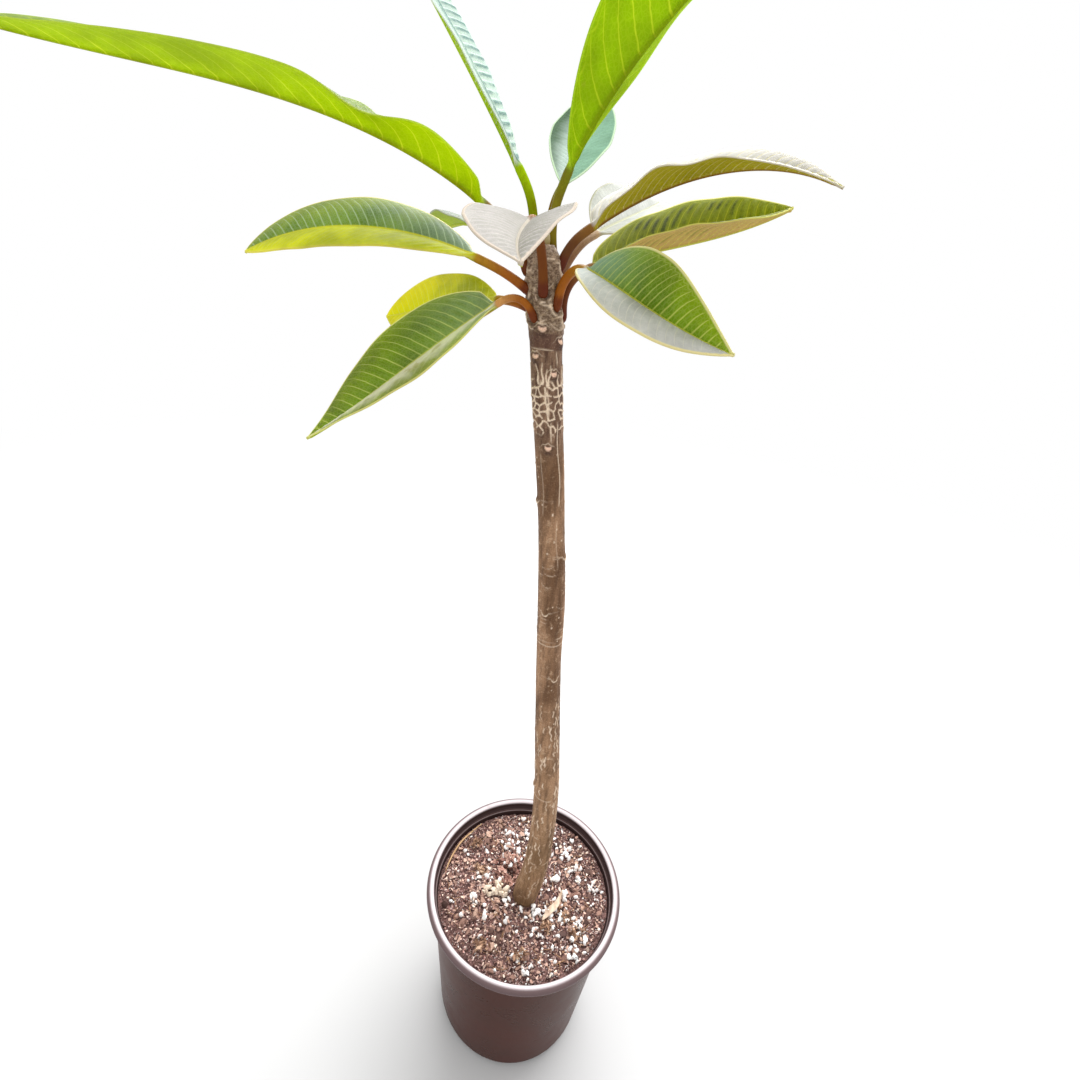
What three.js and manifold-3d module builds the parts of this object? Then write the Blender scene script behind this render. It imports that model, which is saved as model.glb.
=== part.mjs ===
// A young plumeria (frangipani) growing in a round nursery pot: the pot, the potting mix, one bare
// stem with its leaf scars, and a crown of thirteen long, pointed leaves on bent stalks.
// Millimetres, +Z up. The origin is the middle of the pot's underside, where the plant stands.
// The front of the plant faces -Y.
import * as THREE from "three";
import { mergeVertices } from "three/addons/utils/BufferGeometryUtils.js";
import Module from "manifold-3d";

const wasm = await Module();
wasm.setup();

// ---------------------------------------------------------------- driving dimensions
const CLEARANCE = 0.35; // gap kept between two pieces that touch
const ROUND_SIDES = 48; // facets round the pot and the soil

// pot
const POT_HEIGHT = 150;
const RIM_RADIUS = 76; // outside of the rolled rim
const RIM_ROLL = 3.6; // radius of the roll's section
const BODY_TOP_RADIUS = 70; // outside of the body, just under the rim
const BODY_BASE_RADIUS = 61.5; // outside of the body, where the bottom corner starts
const CORNER_RADIUS = 9; // rounded bottom corner
const WALL = 1.8;
const LEDGE_DEPTH = 9; // the small step inside, below the top
const LEDGE_WIDTH = 1;
const LEDGE_RISE = 1; // the ledge slopes up this far to the wall above it
const DRAIN_HOLES = 5;
const DRAIN_RADIUS = 4;
const DRAIN_CIRCLE = 38;
const DRAIN_SIDES = 12;

// soil
const SOIL_LEVEL = 137.5;
const SOIL_RINGS = 14;
const SOIL_DISH = 3; // the mix lies this much lower in the middle of the pot than at the wall
const LUMP_HEIGHT = 2.6; // crumbs, bark and perlite that stand out of the surface
const LUMP_SIZE = 8;
const MOUND_SIZE = 18; // wider mounds under the lumps
const MOUND_SHARE = 0.4;

// stem: its middle line, from the planted end to the growing tip
const STEM_LINE = [
  [1.5, -2.5, 60],
  [1.5, -2.5, 136],
  [6.3, -2.5, 172],
  [7.1, -2.5, 212],
  [5.3, -2.5, 260],
  [-3.2, -2.5, 342],
  [-10.5, -2.5, 430],
  [-18, -2.5, 489],
  [-28.7, -2.5, 560],
  [-33.3, -2.5, 594],
];
const STEM_SIDES = 16;
const STEM_STEP = 12; // distance between two rings of the stem
const STEM_RADII = [
  // height, radius
  [60, 8.8],
  [120, 9.6],
  [150, 9.9],
  [260, 8.7],
  [345, 8.0],
  [375, 7.7],
  [415, 8.0],
  [460, 7.5],
  [520, 7.3],
  [560, 7.9],
  [587, 7.6],
];
const STEM_TOP = 594;
const TIP_RADIUS = 5; // the stem rounds off to this at its top
const BUD_RADIUS = 2.4;
const BUD_HEIGHT = 9;
const BUD_SUNK = 1; // the bud's foot is inside the stem
const BUD_SIDES = 8;
const CURVE_SAMPLES = 240;

// leaf scars: height up the stem and the side they face (0 = +X, -90 = front)
const SCARS = [
  [190, 120],
  [236, 35],
  [268, -165],
  [298, -108],
  [330, 60],
  [365, -62],
  [396, 150],
  [412, -115],
  [438, 75],
  [447, -25],
  [478, -160],
  [507, -94],
  [519, 40],
  [532, 170],
  [542, -60],
  [549, -125],
  [551, 90],
  [556, -25],
  [561, -95],
];
const SCAR_WIDTH = 7;
const SCAR_HEIGHT = 4.6;
const SCAR_RISE = 1.1;

// leaves
const STALK_RADIUS = 2.0;
const STALK_FOOT_RADIUS = 2.7; // where the stalk leaves the stem
const STALK_ROOT = 3.2; // how deep the stalk is sunk before it is cut to the stem's surface
const STALK_FLARE = 6; // length over which the foot narrows to the stalk
const BLADE_THICKNESS = 0.8;
const MIDRIB_RADIUS = 1.4; // where the blade starts
const MIDRIB_TIP_RADIUS = 0.5;
const BLADE_BULGE = 0.07; // how far each half arches between midrib and margin, as a part of its width
const BLADE_STEP = 10; // distance between two sections of a blade
const STALK_SECTIONS = 4;
const TIP_HALF_WIDTH = 0.7;
const MIDRIB_SHARE = 0.3; // the midrib takes no more of a half's width than this
const SHOULDER_DEPTH = 0.4; // depth of the midrib's shoulders, as a part of its radius
const BLADE_START = 0.06; // part of the blade over which the stalk turns into it
const RIPPLE_LAG = 115; // degrees that the right margin's wave lags behind the left one's

// One entry for each leaf. at: height up the stem; side: the side of the stem it grows from.
// stalk, blade, width: lengths of stalk and blade, and full width of the blade.
// rise: slope of the midrib in degrees at the stalk's foot, blade's start, middle and tip.
// heading: direction seen from above at the same four points (0 = +X, 90 = back, -90 = front).
// roll: turn of the blade about its midrib at start and tip; positive lifts the left half.
// fold: how far the left and the right half are folded up from flat.
// shape: how quickly the blade widens from its base, and narrows to its tip (smaller is blunter).
// ripple: wave of the margins: height, waves in the blade's length, phase in degrees, and the place
// and spread of the stretch that it covers, as parts of the blade's length.
const LEAVES = [
  {
    name: "leaf_long_left", at: 584, side: 175, stalk: 29, blade: 176, width: 50.5,
    rise: [65, 31, 8, 4], heading: [166, 209, 184, 207],
    roll: [-14, -38], fold: [39, -6], shape: [0.57, 0.5], ripple: [5.2, 2.7, -21, 0.26, 0.11],
  },
  {
    name: "leaf_upright_left", at: 590, side: 134, stalk: 34, blade: 142, width: 50,
    rise: [88, 48, 41, 36], heading: [125, 141, 133, 124],
    roll: [15, 9], fold: [22, -7], shape: [0.8, 0.8], ripple: [0.4, 4, 0, 0.5, 0.5],
  },
  {
    name: "leaf_tall_right", at: 591, side: 57, stalk: 30, blade: 138, width: 59,
    rise: [100, 68, 44, 50], heading: [39, -27, -24, -8],
    roll: [-7, 5], fold: [21, 22], shape: [1.05, 0.82], ripple: [1.2, 3, 0, 0.6, 0.4],
  },
  {
    name: "leaf_back", at: 580, side: 95, stalk: 51, blade: 150, width: 36,
    rise: [80, 25, 23, 36], heading: [91, 80, 87, 82],
    roll: [3, -10], fold: [13, 15], shape: [0.87, 0.8], ripple: [0.4, 4, 0, 0.5, 0.5],
  },
  {
    name: "leaf_upper_right", at: 587, side: 2, stalk: 19, blade: 105, width: 46,
    rise: [69, 37, 16, -23], heading: [21, 17, -8, -33],
    roll: [-9, 24], fold: [22, 15], shape: [0.6, 1.3], ripple: [1.4, 3.5, 0, 0.3, 0.2],
  },
  {
    name: "leaf_front", at: 577, side: -90, stalk: 46, blade: 88, width: 36,
    rise: [77, -6, -8, -9], heading: [-115, -90, -88, -79],
    roll: [-1, 11], fold: [25, 19], shape: [0.75, 1.05], ripple: [0.3, 3, 0, 0.5, 0.5],
  },
  {
    name: "leaf_left", at: 576, side: 190, stalk: 24, blade: 109, width: 44,
    rise: [30, 17, -4, -29], heading: [183, 177, 175, 178],
    roll: [-13, -33], fold: [3, 11], shape: [0.76, 0.86], ripple: [0.15, 4, 0, 0.5, 0.5],
  },
  {
    name: "leaf_low_left", at: 566, side: 232, stalk: 19, blade: 106, width: 50,
    rise: [59, -36, -39, -33], heading: [192, 170, 200, 192],
    roll: [-23, -2], fold: [13, 25], shape: [0.63, 1], ripple: [0.2, 4, 0, 0.5, 0.5],
  },
  {
    name: "leaf_left_behind", at: 568, side: 155, stalk: 17.8, blade: 84.5, width: 39.7,
    rise: [11, -3, -16, -12], heading: [145, 150, 141, 155],
    roll: [-5, -56], fold: [6, 21], shape: [0.92, 0.87], ripple: [0.3, 3, 0, 0.5, 0.5],
  },
  {
    name: "leaf_low_right", at: 572, side: -40, stalk: 26, blade: 80, width: 35,
    rise: [84, -5, -16, -9], heading: [-30, -66, -49, -37],
    roll: [12, 56], fold: [45, 26], shape: [0.8, 0.97], ripple: [0.2, 3, 0, 0.5, 0.5],
  },
  {
    name: "leaf_right", at: 567, side: 0, stalk: 26, blade: 95, width: 45,
    rise: [95, 21, 17, 32], heading: [23, 40, 5, 6],
    roll: [0, 27], fold: [32, 32], shape: [0.9, 0.88], ripple: [0.4, 4, 0, 0.5, 0.5],
  },
  {
    name: "leaf_right_back", at: 581, side: 35, stalk: 35, blade: 112, width: 44,
    rise: [56, 14, 12, 12], heading: [51, 66, 69, 71],
    roll: [16, 16], fold: [20, 14], shape: [0.8, 0.8], ripple: [0.4, 4, 0, 0.5, 0.5],
  },
  {
    name: "leaf_left_back", at: 573, side: 122, stalk: 29, blade: 115, width: 42,
    rise: [46, 17, 5, -14], heading: [93, 125, 122, 119],
    roll: [0, 0], fold: [12, 12], shape: [0.8, 0.8], ripple: [0.4, 4, 0, 0.5, 0.5],
  },
];

// ---------------------------------------------------------------- materials
const potPlastic = new THREE.MeshStandardMaterial({ color: 0x4a3e39, roughness: 0.3, metalness: 0 });
const pottingMix = new THREE.MeshStandardMaterial({ color: 0x5d4034, roughness: 0.95, metalness: 0 });
const bark = new THREE.MeshStandardMaterial({ color: 0x75614d, roughness: 0.8, metalness: 0 });
const leafGreen = new THREE.MeshStandardMaterial({ color: 0x5f9a22, roughness: 0.4, metalness: 0 });

// ---------------------------------------------------------------- small helpers
const radians = THREE.MathUtils.degToRad;
const smooth = (t) => THREE.MathUtils.smoothstep(t, 0, 1);

// value at x in a list of [x, value] pairs, joined by straight lines
function valueAt(pairs, x) {
  const next = pairs.findIndex(([position]) => position >= x);
  if (next === -1) return pairs[pairs.length - 1][1];
  if (next === 0) return pairs[0][1];
  const [x0, y0] = pairs[next - 1];
  const [x1, y1] = pairs[next];
  return THREE.MathUtils.lerp(y0, y1, (x - x0) / (x1 - x0));
}

// a curve of degree two through three values, at t = 0, 1/2 and 1
function throughThree(t, start, middle, end) {
  return start * (1 - t) * (1 - 2 * t) + middle * 4 * t * (1 - t) + end * t * (2 * t - 1);
}

// joins equal vertices and drops the flat triangles that a lathe leaves on its axis
function closedGeometry(geometry) {
  const bare = geometry.index ? geometry.toNonIndexed() : geometry.clone();
  bare.deleteAttribute("normal");
  bare.deleteAttribute("uv");
  const merged = mergeVertices(bare, 1e-4);
  const kept = [];
  const index = merged.index.array;
  for (let i = 0; i < index.length; i += 3) {
    const [a, b, c] = [index[i], index[i + 1], index[i + 2]];
    if (a !== b && b !== c && c !== a) kept.push(a, b, c);
  }
  merged.setIndex(kept);
  if (signedVolume(merged) < 0) {
    for (let i = 0; i < kept.length; i += 3) [kept[i], kept[i + 1]] = [kept[i + 1], kept[i]];
    merged.setIndex(kept);
  }
  return merged;
}

function signedVolume(geometry) {
  const position = geometry.attributes.position;
  const index = geometry.index.array;
  const corners = [new THREE.Vector3(), new THREE.Vector3(), new THREE.Vector3()];
  let volume = 0;
  for (let i = 0; i < index.length; i += 3) {
    corners.forEach((corner, k) => corner.fromBufferAttribute(position, index[i + k]));
    volume += corners[0].dot(corners[1].clone().cross(corners[2])) / 6;
  }
  return volume;
}

function toSolid(geometry) {
  const closed = closedGeometry(geometry);
  const mesh = new wasm.Mesh({
    numProp: 3,
    vertProperties: new Float32Array(closed.attributes.position.array),
    triVerts: new Uint32Array(closed.index.array),
  });
  return new wasm.Manifold(mesh);
}

function toGeometry(solid) {
  const mesh = solid.getMesh();
  const geometry = new THREE.BufferGeometry();
  const position = new Float32Array(mesh.numVert * 3);
  for (let i = 0; i < mesh.numVert; i += 1) {
    for (let k = 0; k < 3; k += 1) position[3 * i + k] = mesh.vertProperties[i * mesh.numProp + k];
  }
  geometry.setAttribute("position", new THREE.BufferAttribute(position, 3));
  geometry.setIndex(Array.from(mesh.triVerts));
  return geometry;
}

// a closed skin over rings of equally many points, with both ends capped by a fan
function loft(rings) {
  const sides = rings[0].length;
  const points = rings.flat();
  const index = [];
  for (let r = 0; r + 1 < rings.length; r += 1) {
    for (let k = 0; k < sides; k += 1) {
      const a = r * sides + k;
      const b = r * sides + ((k + 1) % sides);
      index.push(a, b, a + sides, b, b + sides, a + sides);
    }
  }
  [0, rings.length - 1].forEach((r) => {
    const middle = new THREE.Vector3();
    rings[r].forEach((point) => middle.addScaledVector(point, 1 / sides));
    const centre = points.push(middle) - 1;
    for (let k = 0; k < sides; k += 1) {
      const a = r * sides + k;
      const b = r * sides + ((k + 1) % sides);
      if (r === 0) index.push(b, a, centre);
      else index.push(a, b, centre);
    }
  });
  const geometry = new THREE.BufferGeometry().setFromPoints(points);
  geometry.setIndex(index);
  return geometry;
}

// a closed solid of revolution about +Z from [radius, height] pairs
function turned(profile) {
  const outline = profile.map(([radius, height]) => new THREE.Vector2(radius, height));
  return new THREE.LatheGeometry(outline, ROUND_SIDES).rotateX(Math.PI / 2);
}

// points of an arc in a profile, from one angle to another, in degrees
function arc(centreRadius, centreHeight, radius, from, to, steps) {
  return Array.from({ length: steps + 1 }, (_, i) => {
    const angle = radians(THREE.MathUtils.lerp(from, to, i / steps));
    return [centreRadius + radius * Math.cos(angle), centreHeight + radius * Math.sin(angle)];
  });
}

// a repeatable number from 0 to 1 for each pair of whole numbers
function scatter(i, j) {
  const value = Math.sin(i * 127.1 + j * 311.7 + 17.3) * 43758.5453;
  return value - Math.floor(value);
}

// smooth bumps of about the given size
function bumps(x, y, size) {
  const [u, v] = [x / size, y / size];
  const [i, j] = [Math.floor(u), Math.floor(v)];
  const [s, t] = [smooth(u - i), smooth(v - j)];
  const low = THREE.MathUtils.lerp(scatter(i, j), scatter(i + 1, j), s);
  const high = THREE.MathUtils.lerp(scatter(i, j + 1), scatter(i + 1, j + 1), s);
  return THREE.MathUtils.lerp(low, high, t) * 2 - 1;
}

// ---------------------------------------------------------------- pot
const slope = (BODY_TOP_RADIUS - BODY_BASE_RADIUS) / (POT_HEIGHT - 2 * RIM_ROLL - CORNER_RADIUS);

// inner radius of the pot's wall at a height above its corner
function innerRadius(height) {
  return BODY_BASE_RADIUS + slope * (height - CORNER_RADIUS) - WALL;
}

function makePot() {
  const rollHeight = POT_HEIGHT - RIM_ROLL;
  const rollRadius = RIM_RADIUS - RIM_ROLL;
  const ledge = POT_HEIGHT - LEDGE_DEPTH;
  const outer = [
    [0, 0],
    ...arc(BODY_BASE_RADIUS - CORNER_RADIUS, CORNER_RADIUS, CORNER_RADIUS, -90, 0, 3),
    [BODY_TOP_RADIUS, POT_HEIGHT - 2 * RIM_ROLL],
  ];
  const roll = arc(rollRadius, rollHeight, RIM_ROLL, -75, 180, 7);
  const inner = [
    [innerRadius(ledge) + LEDGE_WIDTH, ledge + LEDGE_RISE],
    [innerRadius(ledge), ledge],
    [innerRadius(CORNER_RADIUS), CORNER_RADIUS],
    [innerRadius(CORNER_RADIUS) - CORNER_RADIUS + WALL, WALL],
    [0, WALL],
  ];
  const shell = toSolid(turned([...outer, ...roll, ...inner]));
  const drill = new THREE.CylinderGeometry(DRAIN_RADIUS, DRAIN_RADIUS, 4 * WALL, DRAIN_SIDES);
  drill.rotateX(Math.PI / 2);
  let pot = shell;
  for (let i = 0; i < DRAIN_HOLES; i += 1) {
    const angle = (2 * Math.PI * (i + 0.5)) / DRAIN_HOLES;
    const hole = drill.clone();
    hole.translate(DRAIN_CIRCLE * Math.cos(angle), DRAIN_CIRCLE * Math.sin(angle), WALL / 2);
    pot = pot.subtract(toSolid(hole));
  }
  return toGeometry(pot);
}

// ---------------------------------------------------------------- stem
const stemCurve = new THREE.CatmullRomCurve3(STEM_LINE.map((point) => new THREE.Vector3(...point)));
const stemSamples = stemCurve.getPoints(CURVE_SAMPLES);

// middle of the stem at a height
function stemCentre(height) {
  const x = valueAt(stemSamples.map((point) => [point.z, point.x]), height);
  return new THREE.Vector3(x, STEM_LINE[0][1], height);
}

function stemRadius(height) {
  if (height <= STEM_RADII[STEM_RADII.length - 1][0]) return valueAt(STEM_RADII, height);
  const start = STEM_RADII[STEM_RADII.length - 1];
  const part = (height - start[0]) / (STEM_TOP - start[0]);
  return THREE.MathUtils.lerp(start[1], TIP_RADIUS, part * part);
}

function stemRing(height, radius) {
  const centre = stemCentre(height);
  return Array.from({ length: STEM_SIDES }, (_, k) => {
    const angle = (2 * Math.PI * k) / STEM_SIDES;
    return new THREE.Vector3(
      centre.x + radius * Math.cos(angle),
      centre.y + radius * Math.sin(angle),
      height,
    );
  });
}

// the stem's shaft, grown outwards by a margin when it cuts its neighbours
function makeShaft(margin) {
  const bottom = STEM_LINE[0][2];
  const count = Math.round((STEM_TOP - bottom) / STEM_STEP);
  const rings = Array.from({ length: count + 1 }, (_, i) => {
    const part = i / count;
    const height = THREE.MathUtils.lerp(bottom - margin, STEM_TOP + margin, part);
    return stemRing(height, stemRadius(Math.min(height, STEM_TOP)) + margin);
  });
  return toSolid(loft(rings));
}

function makeBud(margin) {
  const centre = stemCentre(STEM_TOP);
  const bud = new THREE.ConeGeometry(BUD_RADIUS + margin, BUD_HEIGHT + margin, BUD_SIDES, 1);
  bud.rotateX(Math.PI / 2);
  bud.translate(centre.x, centre.y, STEM_TOP + BUD_HEIGHT / 2 - BUD_SUNK);
  return toSolid(bud);
}

// a low oval pad, half sunk in the bark, for each fallen leaf
function makeScar([height, side]) {
  const pad = new THREE.SphereGeometry(1, 6, 4);
  pad.scale(SCAR_RISE * 2, SCAR_WIDTH / 2, SCAR_HEIGHT / 2);
  pad.translate(stemRadius(height) - SCAR_RISE, 0, 0);
  pad.rotateZ(radians(side));
  const centre = stemCentre(height);
  pad.translate(centre.x, centre.y, centre.z);
  return toSolid(pad);
}

function makeStem() {
  const grown = SCARS.reduce((solid, scar) => solid.add(makeScar(scar)), makeShaft(0));
  return toGeometry(grown.add(makeBud(0)));
}

// ---------------------------------------------------------------- soil
function soilHeight(x, y) {
  const out = Math.hypot(x, y) / innerRadius(SOIL_LEVEL);
  const dish = SOIL_DISH * (out * out - 0.5);
  const lumps = (1 - MOUND_SHARE) * bumps(x, y, LUMP_SIZE) + MOUND_SHARE * bumps(y, x, MOUND_SIZE);
  return SOIL_LEVEL + dish + LUMP_HEIGHT * lumps * (1 - 0.5 * out ** 4);
}

function makeSoil() {
  const rings = [];
  const ring = (radius, heightOf) =>
    Array.from({ length: ROUND_SIDES }, (_, k) => {
      const angle = (2 * Math.PI * k) / ROUND_SIDES;
      const [x, y] = [radius * Math.cos(angle), radius * Math.sin(angle)];
      return new THREE.Vector3(x, y, heightOf(x, y));
    });
  const floor = WALL + CLEARANCE;
  const low = innerRadius(CORNER_RADIUS) - CLEARANCE;
  const high = innerRadius(SOIL_LEVEL) - CLEARANCE;
  const corner = CORNER_RADIUS - WALL;
  rings.push(ring(low - corner, () => floor));
  rings.push(ring(low, () => CORNER_RADIUS + CLEARANCE));
  for (let i = SOIL_RINGS; i >= 1; i -= 1) {
    rings.push(ring((high * i) / SOIL_RINGS, soilHeight));
  }
  return toGeometry(toSolid(loft(rings)).subtract(makeShaft(CLEARANCE)));
}

// ---------------------------------------------------------------- leaves
// a blade's half width at a part of its length, as a part of its widest
function bladeProfile(part, [widening, narrowing]) {
  const widest = widening / (widening + narrowing);
  const top = widest ** widening * (1 - widest) ** narrowing;
  return (part ** widening * (1 - part) ** narrowing) / top;
}

// slope and heading along the leaf; distance is measured from the stalk's foot
function directionAt(leaf, distance) {
  const [rise, heading] = [leaf.rise, leaf.heading];
  if (distance < leaf.stalk) {
    const part = smooth(distance / leaf.stalk);
    return [
      radians(THREE.MathUtils.lerp(rise[0], rise[1], part)),
      radians(THREE.MathUtils.lerp(heading[0], heading[1], part)),
    ];
  }
  const part = (distance - leaf.stalk) / leaf.blade;
  return [
    radians(throughThree(part, rise[1], rise[2], rise[3])),
    radians(throughThree(part, heading[1], heading[2], heading[3])),
  ];
}

function tangentAt(leaf, distance) {
  const [rise, heading] = directionAt(leaf, distance);
  return new THREE.Vector3(
    Math.cos(rise) * Math.cos(heading),
    Math.cos(rise) * Math.sin(heading),
    Math.sin(rise),
  );
}

// the midrib's points at the given distances, walked in short steps from the stalk's foot
function midribPoints(leaf, distances) {
  const side = radians(leaf.side);
  const reach = stemRadius(leaf.at);
  const point = stemCentre(leaf.at);
  point.add(new THREE.Vector3(reach * Math.cos(side), reach * Math.sin(side), 0));
  let walked = 0;
  return distances.map((distance) => {
    const steps = Math.ceil(Math.max(0, distance - walked));
    for (let i = 0; i < steps; i += 1) {
      const step = (distance - walked) / (steps - i);
      point.addScaledVector(tangentAt(leaf, walked + step / 2), step);
      walked += step;
    }
    return point.clone();
  });
}

// the section's own axes: left across the blade, and up out of its upper face
function sectionAxes(leaf, distance) {
  const [, heading] = directionAt(leaf, distance);
  const along = tangentAt(leaf, distance);
  const left = new THREE.Vector3(-Math.sin(heading), Math.cos(heading), 0);
  left.addScaledVector(along, -left.dot(along)).normalize();
  const up = along.clone().cross(left);
  const part = THREE.MathUtils.clamp((distance - leaf.stalk) / leaf.blade, 0, 1);
  const roll = radians(THREE.MathUtils.lerp(leaf.roll[0], leaf.roll[1], part));
  return {
    left: left.clone().multiplyScalar(Math.cos(roll)).addScaledVector(up, Math.sin(roll)),
    up: up.clone().multiplyScalar(Math.cos(roll)).addScaledVector(left, -Math.sin(roll)),
  };
}

// places across a section, from 1 at the left margin to -1 at the right one
const UPPER_PLACES = [1, 2 / 3, 1 / 3, 0, -1 / 3, -2 / 3, -1];
const LOWER_PLACES = [-1, -2 / 3, -1 / 3, "rib", "keel", "rib", 1 / 3, 2 / 3, 1];
const SECTION_POINTS = UPPER_PLACES.length + LOWER_PLACES.length;

function stalkSection(axes, centre, radius) {
  return Array.from({ length: SECTION_POINTS }, (_, i) => {
    const angle = (2 * Math.PI * (i + 1)) / SECTION_POINTS;
    return centre
      .clone()
      .addScaledVector(axes.left, radius * Math.cos(angle))
      .addScaledVector(axes.up, radius * Math.sin(angle));
  });
}

function bladeSection(leaf, axes, centre, part) {
  const profile = bladeProfile(THREE.MathUtils.clamp(part, 0, 1), leaf.shape);
  const halfWidth = Math.max(TIP_HALF_WIDTH, (leaf.width / 2) * profile);
  const rib = THREE.MathUtils.lerp(MIDRIB_RADIUS, MIDRIB_TIP_RADIUS, Math.sqrt(Math.max(0, part)));
  const ribReach = Math.min(rib, halfWidth * MIDRIB_SHARE);
  const [height, waves, phase, place, spread] = leaf.ripple;
  const swell = height * Math.exp(-(((part - place) / spread) ** 2));
  const surface = (across, lift) => {
    const out = Math.abs(across);
    const fold = radians(across >= 0 ? leaf.fold[0] : leaf.fold[1]);
    const sign = across >= 0 ? 1 : -1;
    const outward = axes.left.clone().multiplyScalar(sign * Math.cos(fold));
    outward.addScaledVector(axes.up, Math.sin(fold));
    const normal = axes.up.clone().multiplyScalar(Math.cos(fold));
    normal.addScaledVector(axes.left, -sign * Math.sin(fold));
    const bulge = BLADE_BULGE * halfWidth * 4 * out * (1 - out);
    const turn = radians(360 * waves * part + phase + (sign > 0 ? 0 : RIPPLE_LAG));
    const wave = swell * out * out * Math.sin(turn);
    return centre
      .clone()
      .addScaledVector(outward, out * halfWidth)
      .addScaledVector(out === 0 ? axes.up : normal, bulge + wave + lift);
  };
  const upper = UPPER_PLACES.map((across) => surface(across, BLADE_THICKNESS / 2));
  const lower = LOWER_PLACES.map((across, i) => {
    if (across === "keel") return centre.clone().addScaledVector(axes.up, -rib - BLADE_THICKNESS / 2);
    const place = across === "rib" ? ((i < 4 ? -1 : 1) * ribReach) / halfWidth : across;
    return surface(place, -BLADE_THICKNESS / 2 - (across === "rib" ? rib * SHOULDER_DEPTH : 0));
  });
  return [...upper, ...lower];
}

// distances of a leaf's sections from the stalk's foot, closer together near the blade's ends
function sectionDistances(leaf) {
  const stalk = Array.from({ length: STALK_SECTIONS }, (_, i) => (i / STALK_SECTIONS) * leaf.stalk);
  const count = Math.round(leaf.blade / BLADE_STEP);
  const blade = Array.from({ length: count + 1 }, (_, i) => {
    const even = i / count;
    const eased = (1 - Math.cos(Math.PI * even)) / 2;
    return leaf.stalk + leaf.blade * (0.5 * even + 0.5 * eased);
  });
  return [...stalk, ...blade];
}

function makeLeaf(leaf) {
  const distances = sectionDistances(leaf);
  const points = midribPoints(leaf, distances);
  const rings = distances.map((distance, i) => {
    const axes = sectionAxes(leaf, distance);
    const part = (distance - leaf.stalk) / leaf.blade;
    const foot = Math.exp(-distance / STALK_FLARE);
    const radius = THREE.MathUtils.lerp(STALK_RADIUS, STALK_FOOT_RADIUS, foot);
    const round = stalkSection(axes, points[i], radius);
    const flat = bladeSection(leaf, axes, points[i], part);
    const blend = smooth(part / BLADE_START);
    return round.map((point, k) => point.lerp(flat[k], blend));
  });
  const axes = sectionAxes(leaf, 0);
  const inward = stemCentre(leaf.at).sub(points[0]).normalize();
  const root = points[0].clone().addScaledVector(inward, STALK_ROOT);
  rings.unshift(stalkSection(axes, root, STALK_FOOT_RADIUS));
  const blade = toSolid(loft(rings));
  return toGeometry(blade.subtract(makeShaft(CLEARANCE)).subtract(makeBud(CLEARANCE)));
}

// ---------------------------------------------------------------- the plant
function add(name, geometry, material) {
  const mesh = new THREE.Mesh(geometry, material);
  mesh.name = name;
  plant.add(mesh);
}

const plant = new THREE.Group();
add("pot", makePot(), potPlastic);
add("soil", makeSoil(), pottingMix);
add("stem", makeStem(), bark);
LEAVES.forEach((leaf) => add(leaf.name, makeLeaf(leaf), leafGreen));

export default plant;
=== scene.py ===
"""A young plumeria in a nursery pot: fine leaves, bark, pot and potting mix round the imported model.

The model's frame: +Z up, the middle of the pot's underside at the origin, the plant's front towards -Y.
Sizes below are in millimetres and degrees; MM turns them into Blender's metres.
"""

import math
from types import SimpleNamespace

import bmesh
import bpy
import numpy as np
from mathutils import Matrix, Quaternion, Vector


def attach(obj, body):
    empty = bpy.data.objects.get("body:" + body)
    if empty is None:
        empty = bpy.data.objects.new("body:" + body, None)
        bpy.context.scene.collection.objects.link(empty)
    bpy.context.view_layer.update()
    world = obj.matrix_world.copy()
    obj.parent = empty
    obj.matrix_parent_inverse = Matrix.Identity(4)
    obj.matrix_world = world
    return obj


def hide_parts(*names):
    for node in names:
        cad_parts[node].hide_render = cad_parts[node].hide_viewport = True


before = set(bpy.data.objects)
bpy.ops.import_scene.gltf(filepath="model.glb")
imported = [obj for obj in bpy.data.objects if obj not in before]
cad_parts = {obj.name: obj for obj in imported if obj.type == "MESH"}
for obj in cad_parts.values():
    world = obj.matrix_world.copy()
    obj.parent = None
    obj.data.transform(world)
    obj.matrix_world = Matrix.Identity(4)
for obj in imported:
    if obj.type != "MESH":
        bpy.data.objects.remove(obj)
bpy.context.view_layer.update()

MM = 0.001
BODY = "root"

# ---- camera
CAMERA_PLACE = (-19.75, -270.35, 591.85)
CAMERA_DOWN = 27.27  # degrees below the horizon
CAMERA_ROLL = 6.774
FOCAL_PIXELS = 560.0  # focal length in pixels of the 1080 pixel frame
FRAME_PIXELS = 1080.0
SENSOR = 36.0

# ---- pot
POT_HEIGHT = 150.0
RIM_RADIUS = 76.0
RIM_ROLL = 3.6
BEAD = 3.1  # radius of the rolled rim's finished edge, inside the roll
BODY_TOP_RADIUS = 70.0
BODY_BASE_RADIUS = 61.5
CORNER_RADIUS = 9.0
WALL = 1.8
LEDGE_DEPTH = 9.0
LEDGE_WIDTH = 1.0
DRAIN_HOLES = 5
DRAIN_RADIUS = 4.0
DRAIN_CIRCLE = 38.0
POT_SIDES = 192

# ---- soil
SOIL_LEVEL = 137.5
SOIL_DISH = 3.0
LUMP_HEIGHT = 2.6
LUMP_SIZE = 8.0
MOUND_SIZE = 18.0
MOUND_SHARE = 0.4
SOIL_GAP = 0.35  # between the mix and the pot
HOLLOW = (-11.0, 14.0)  # a small pit behind the stem, with loose crumbs round it
GRAIN_SHAPES = 10  # different lumps among the grains of one kind
FLAT_CHIP = 0.6  # grains flatter than this lie nearly level
CLODS = (
    (26, -9), (19, -25), (36, -18), (-28, -44), (41, -29), (-44, 34), (14, 42), (-36, 12), (2, -48),
)  # middles of the darker heaps

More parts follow.
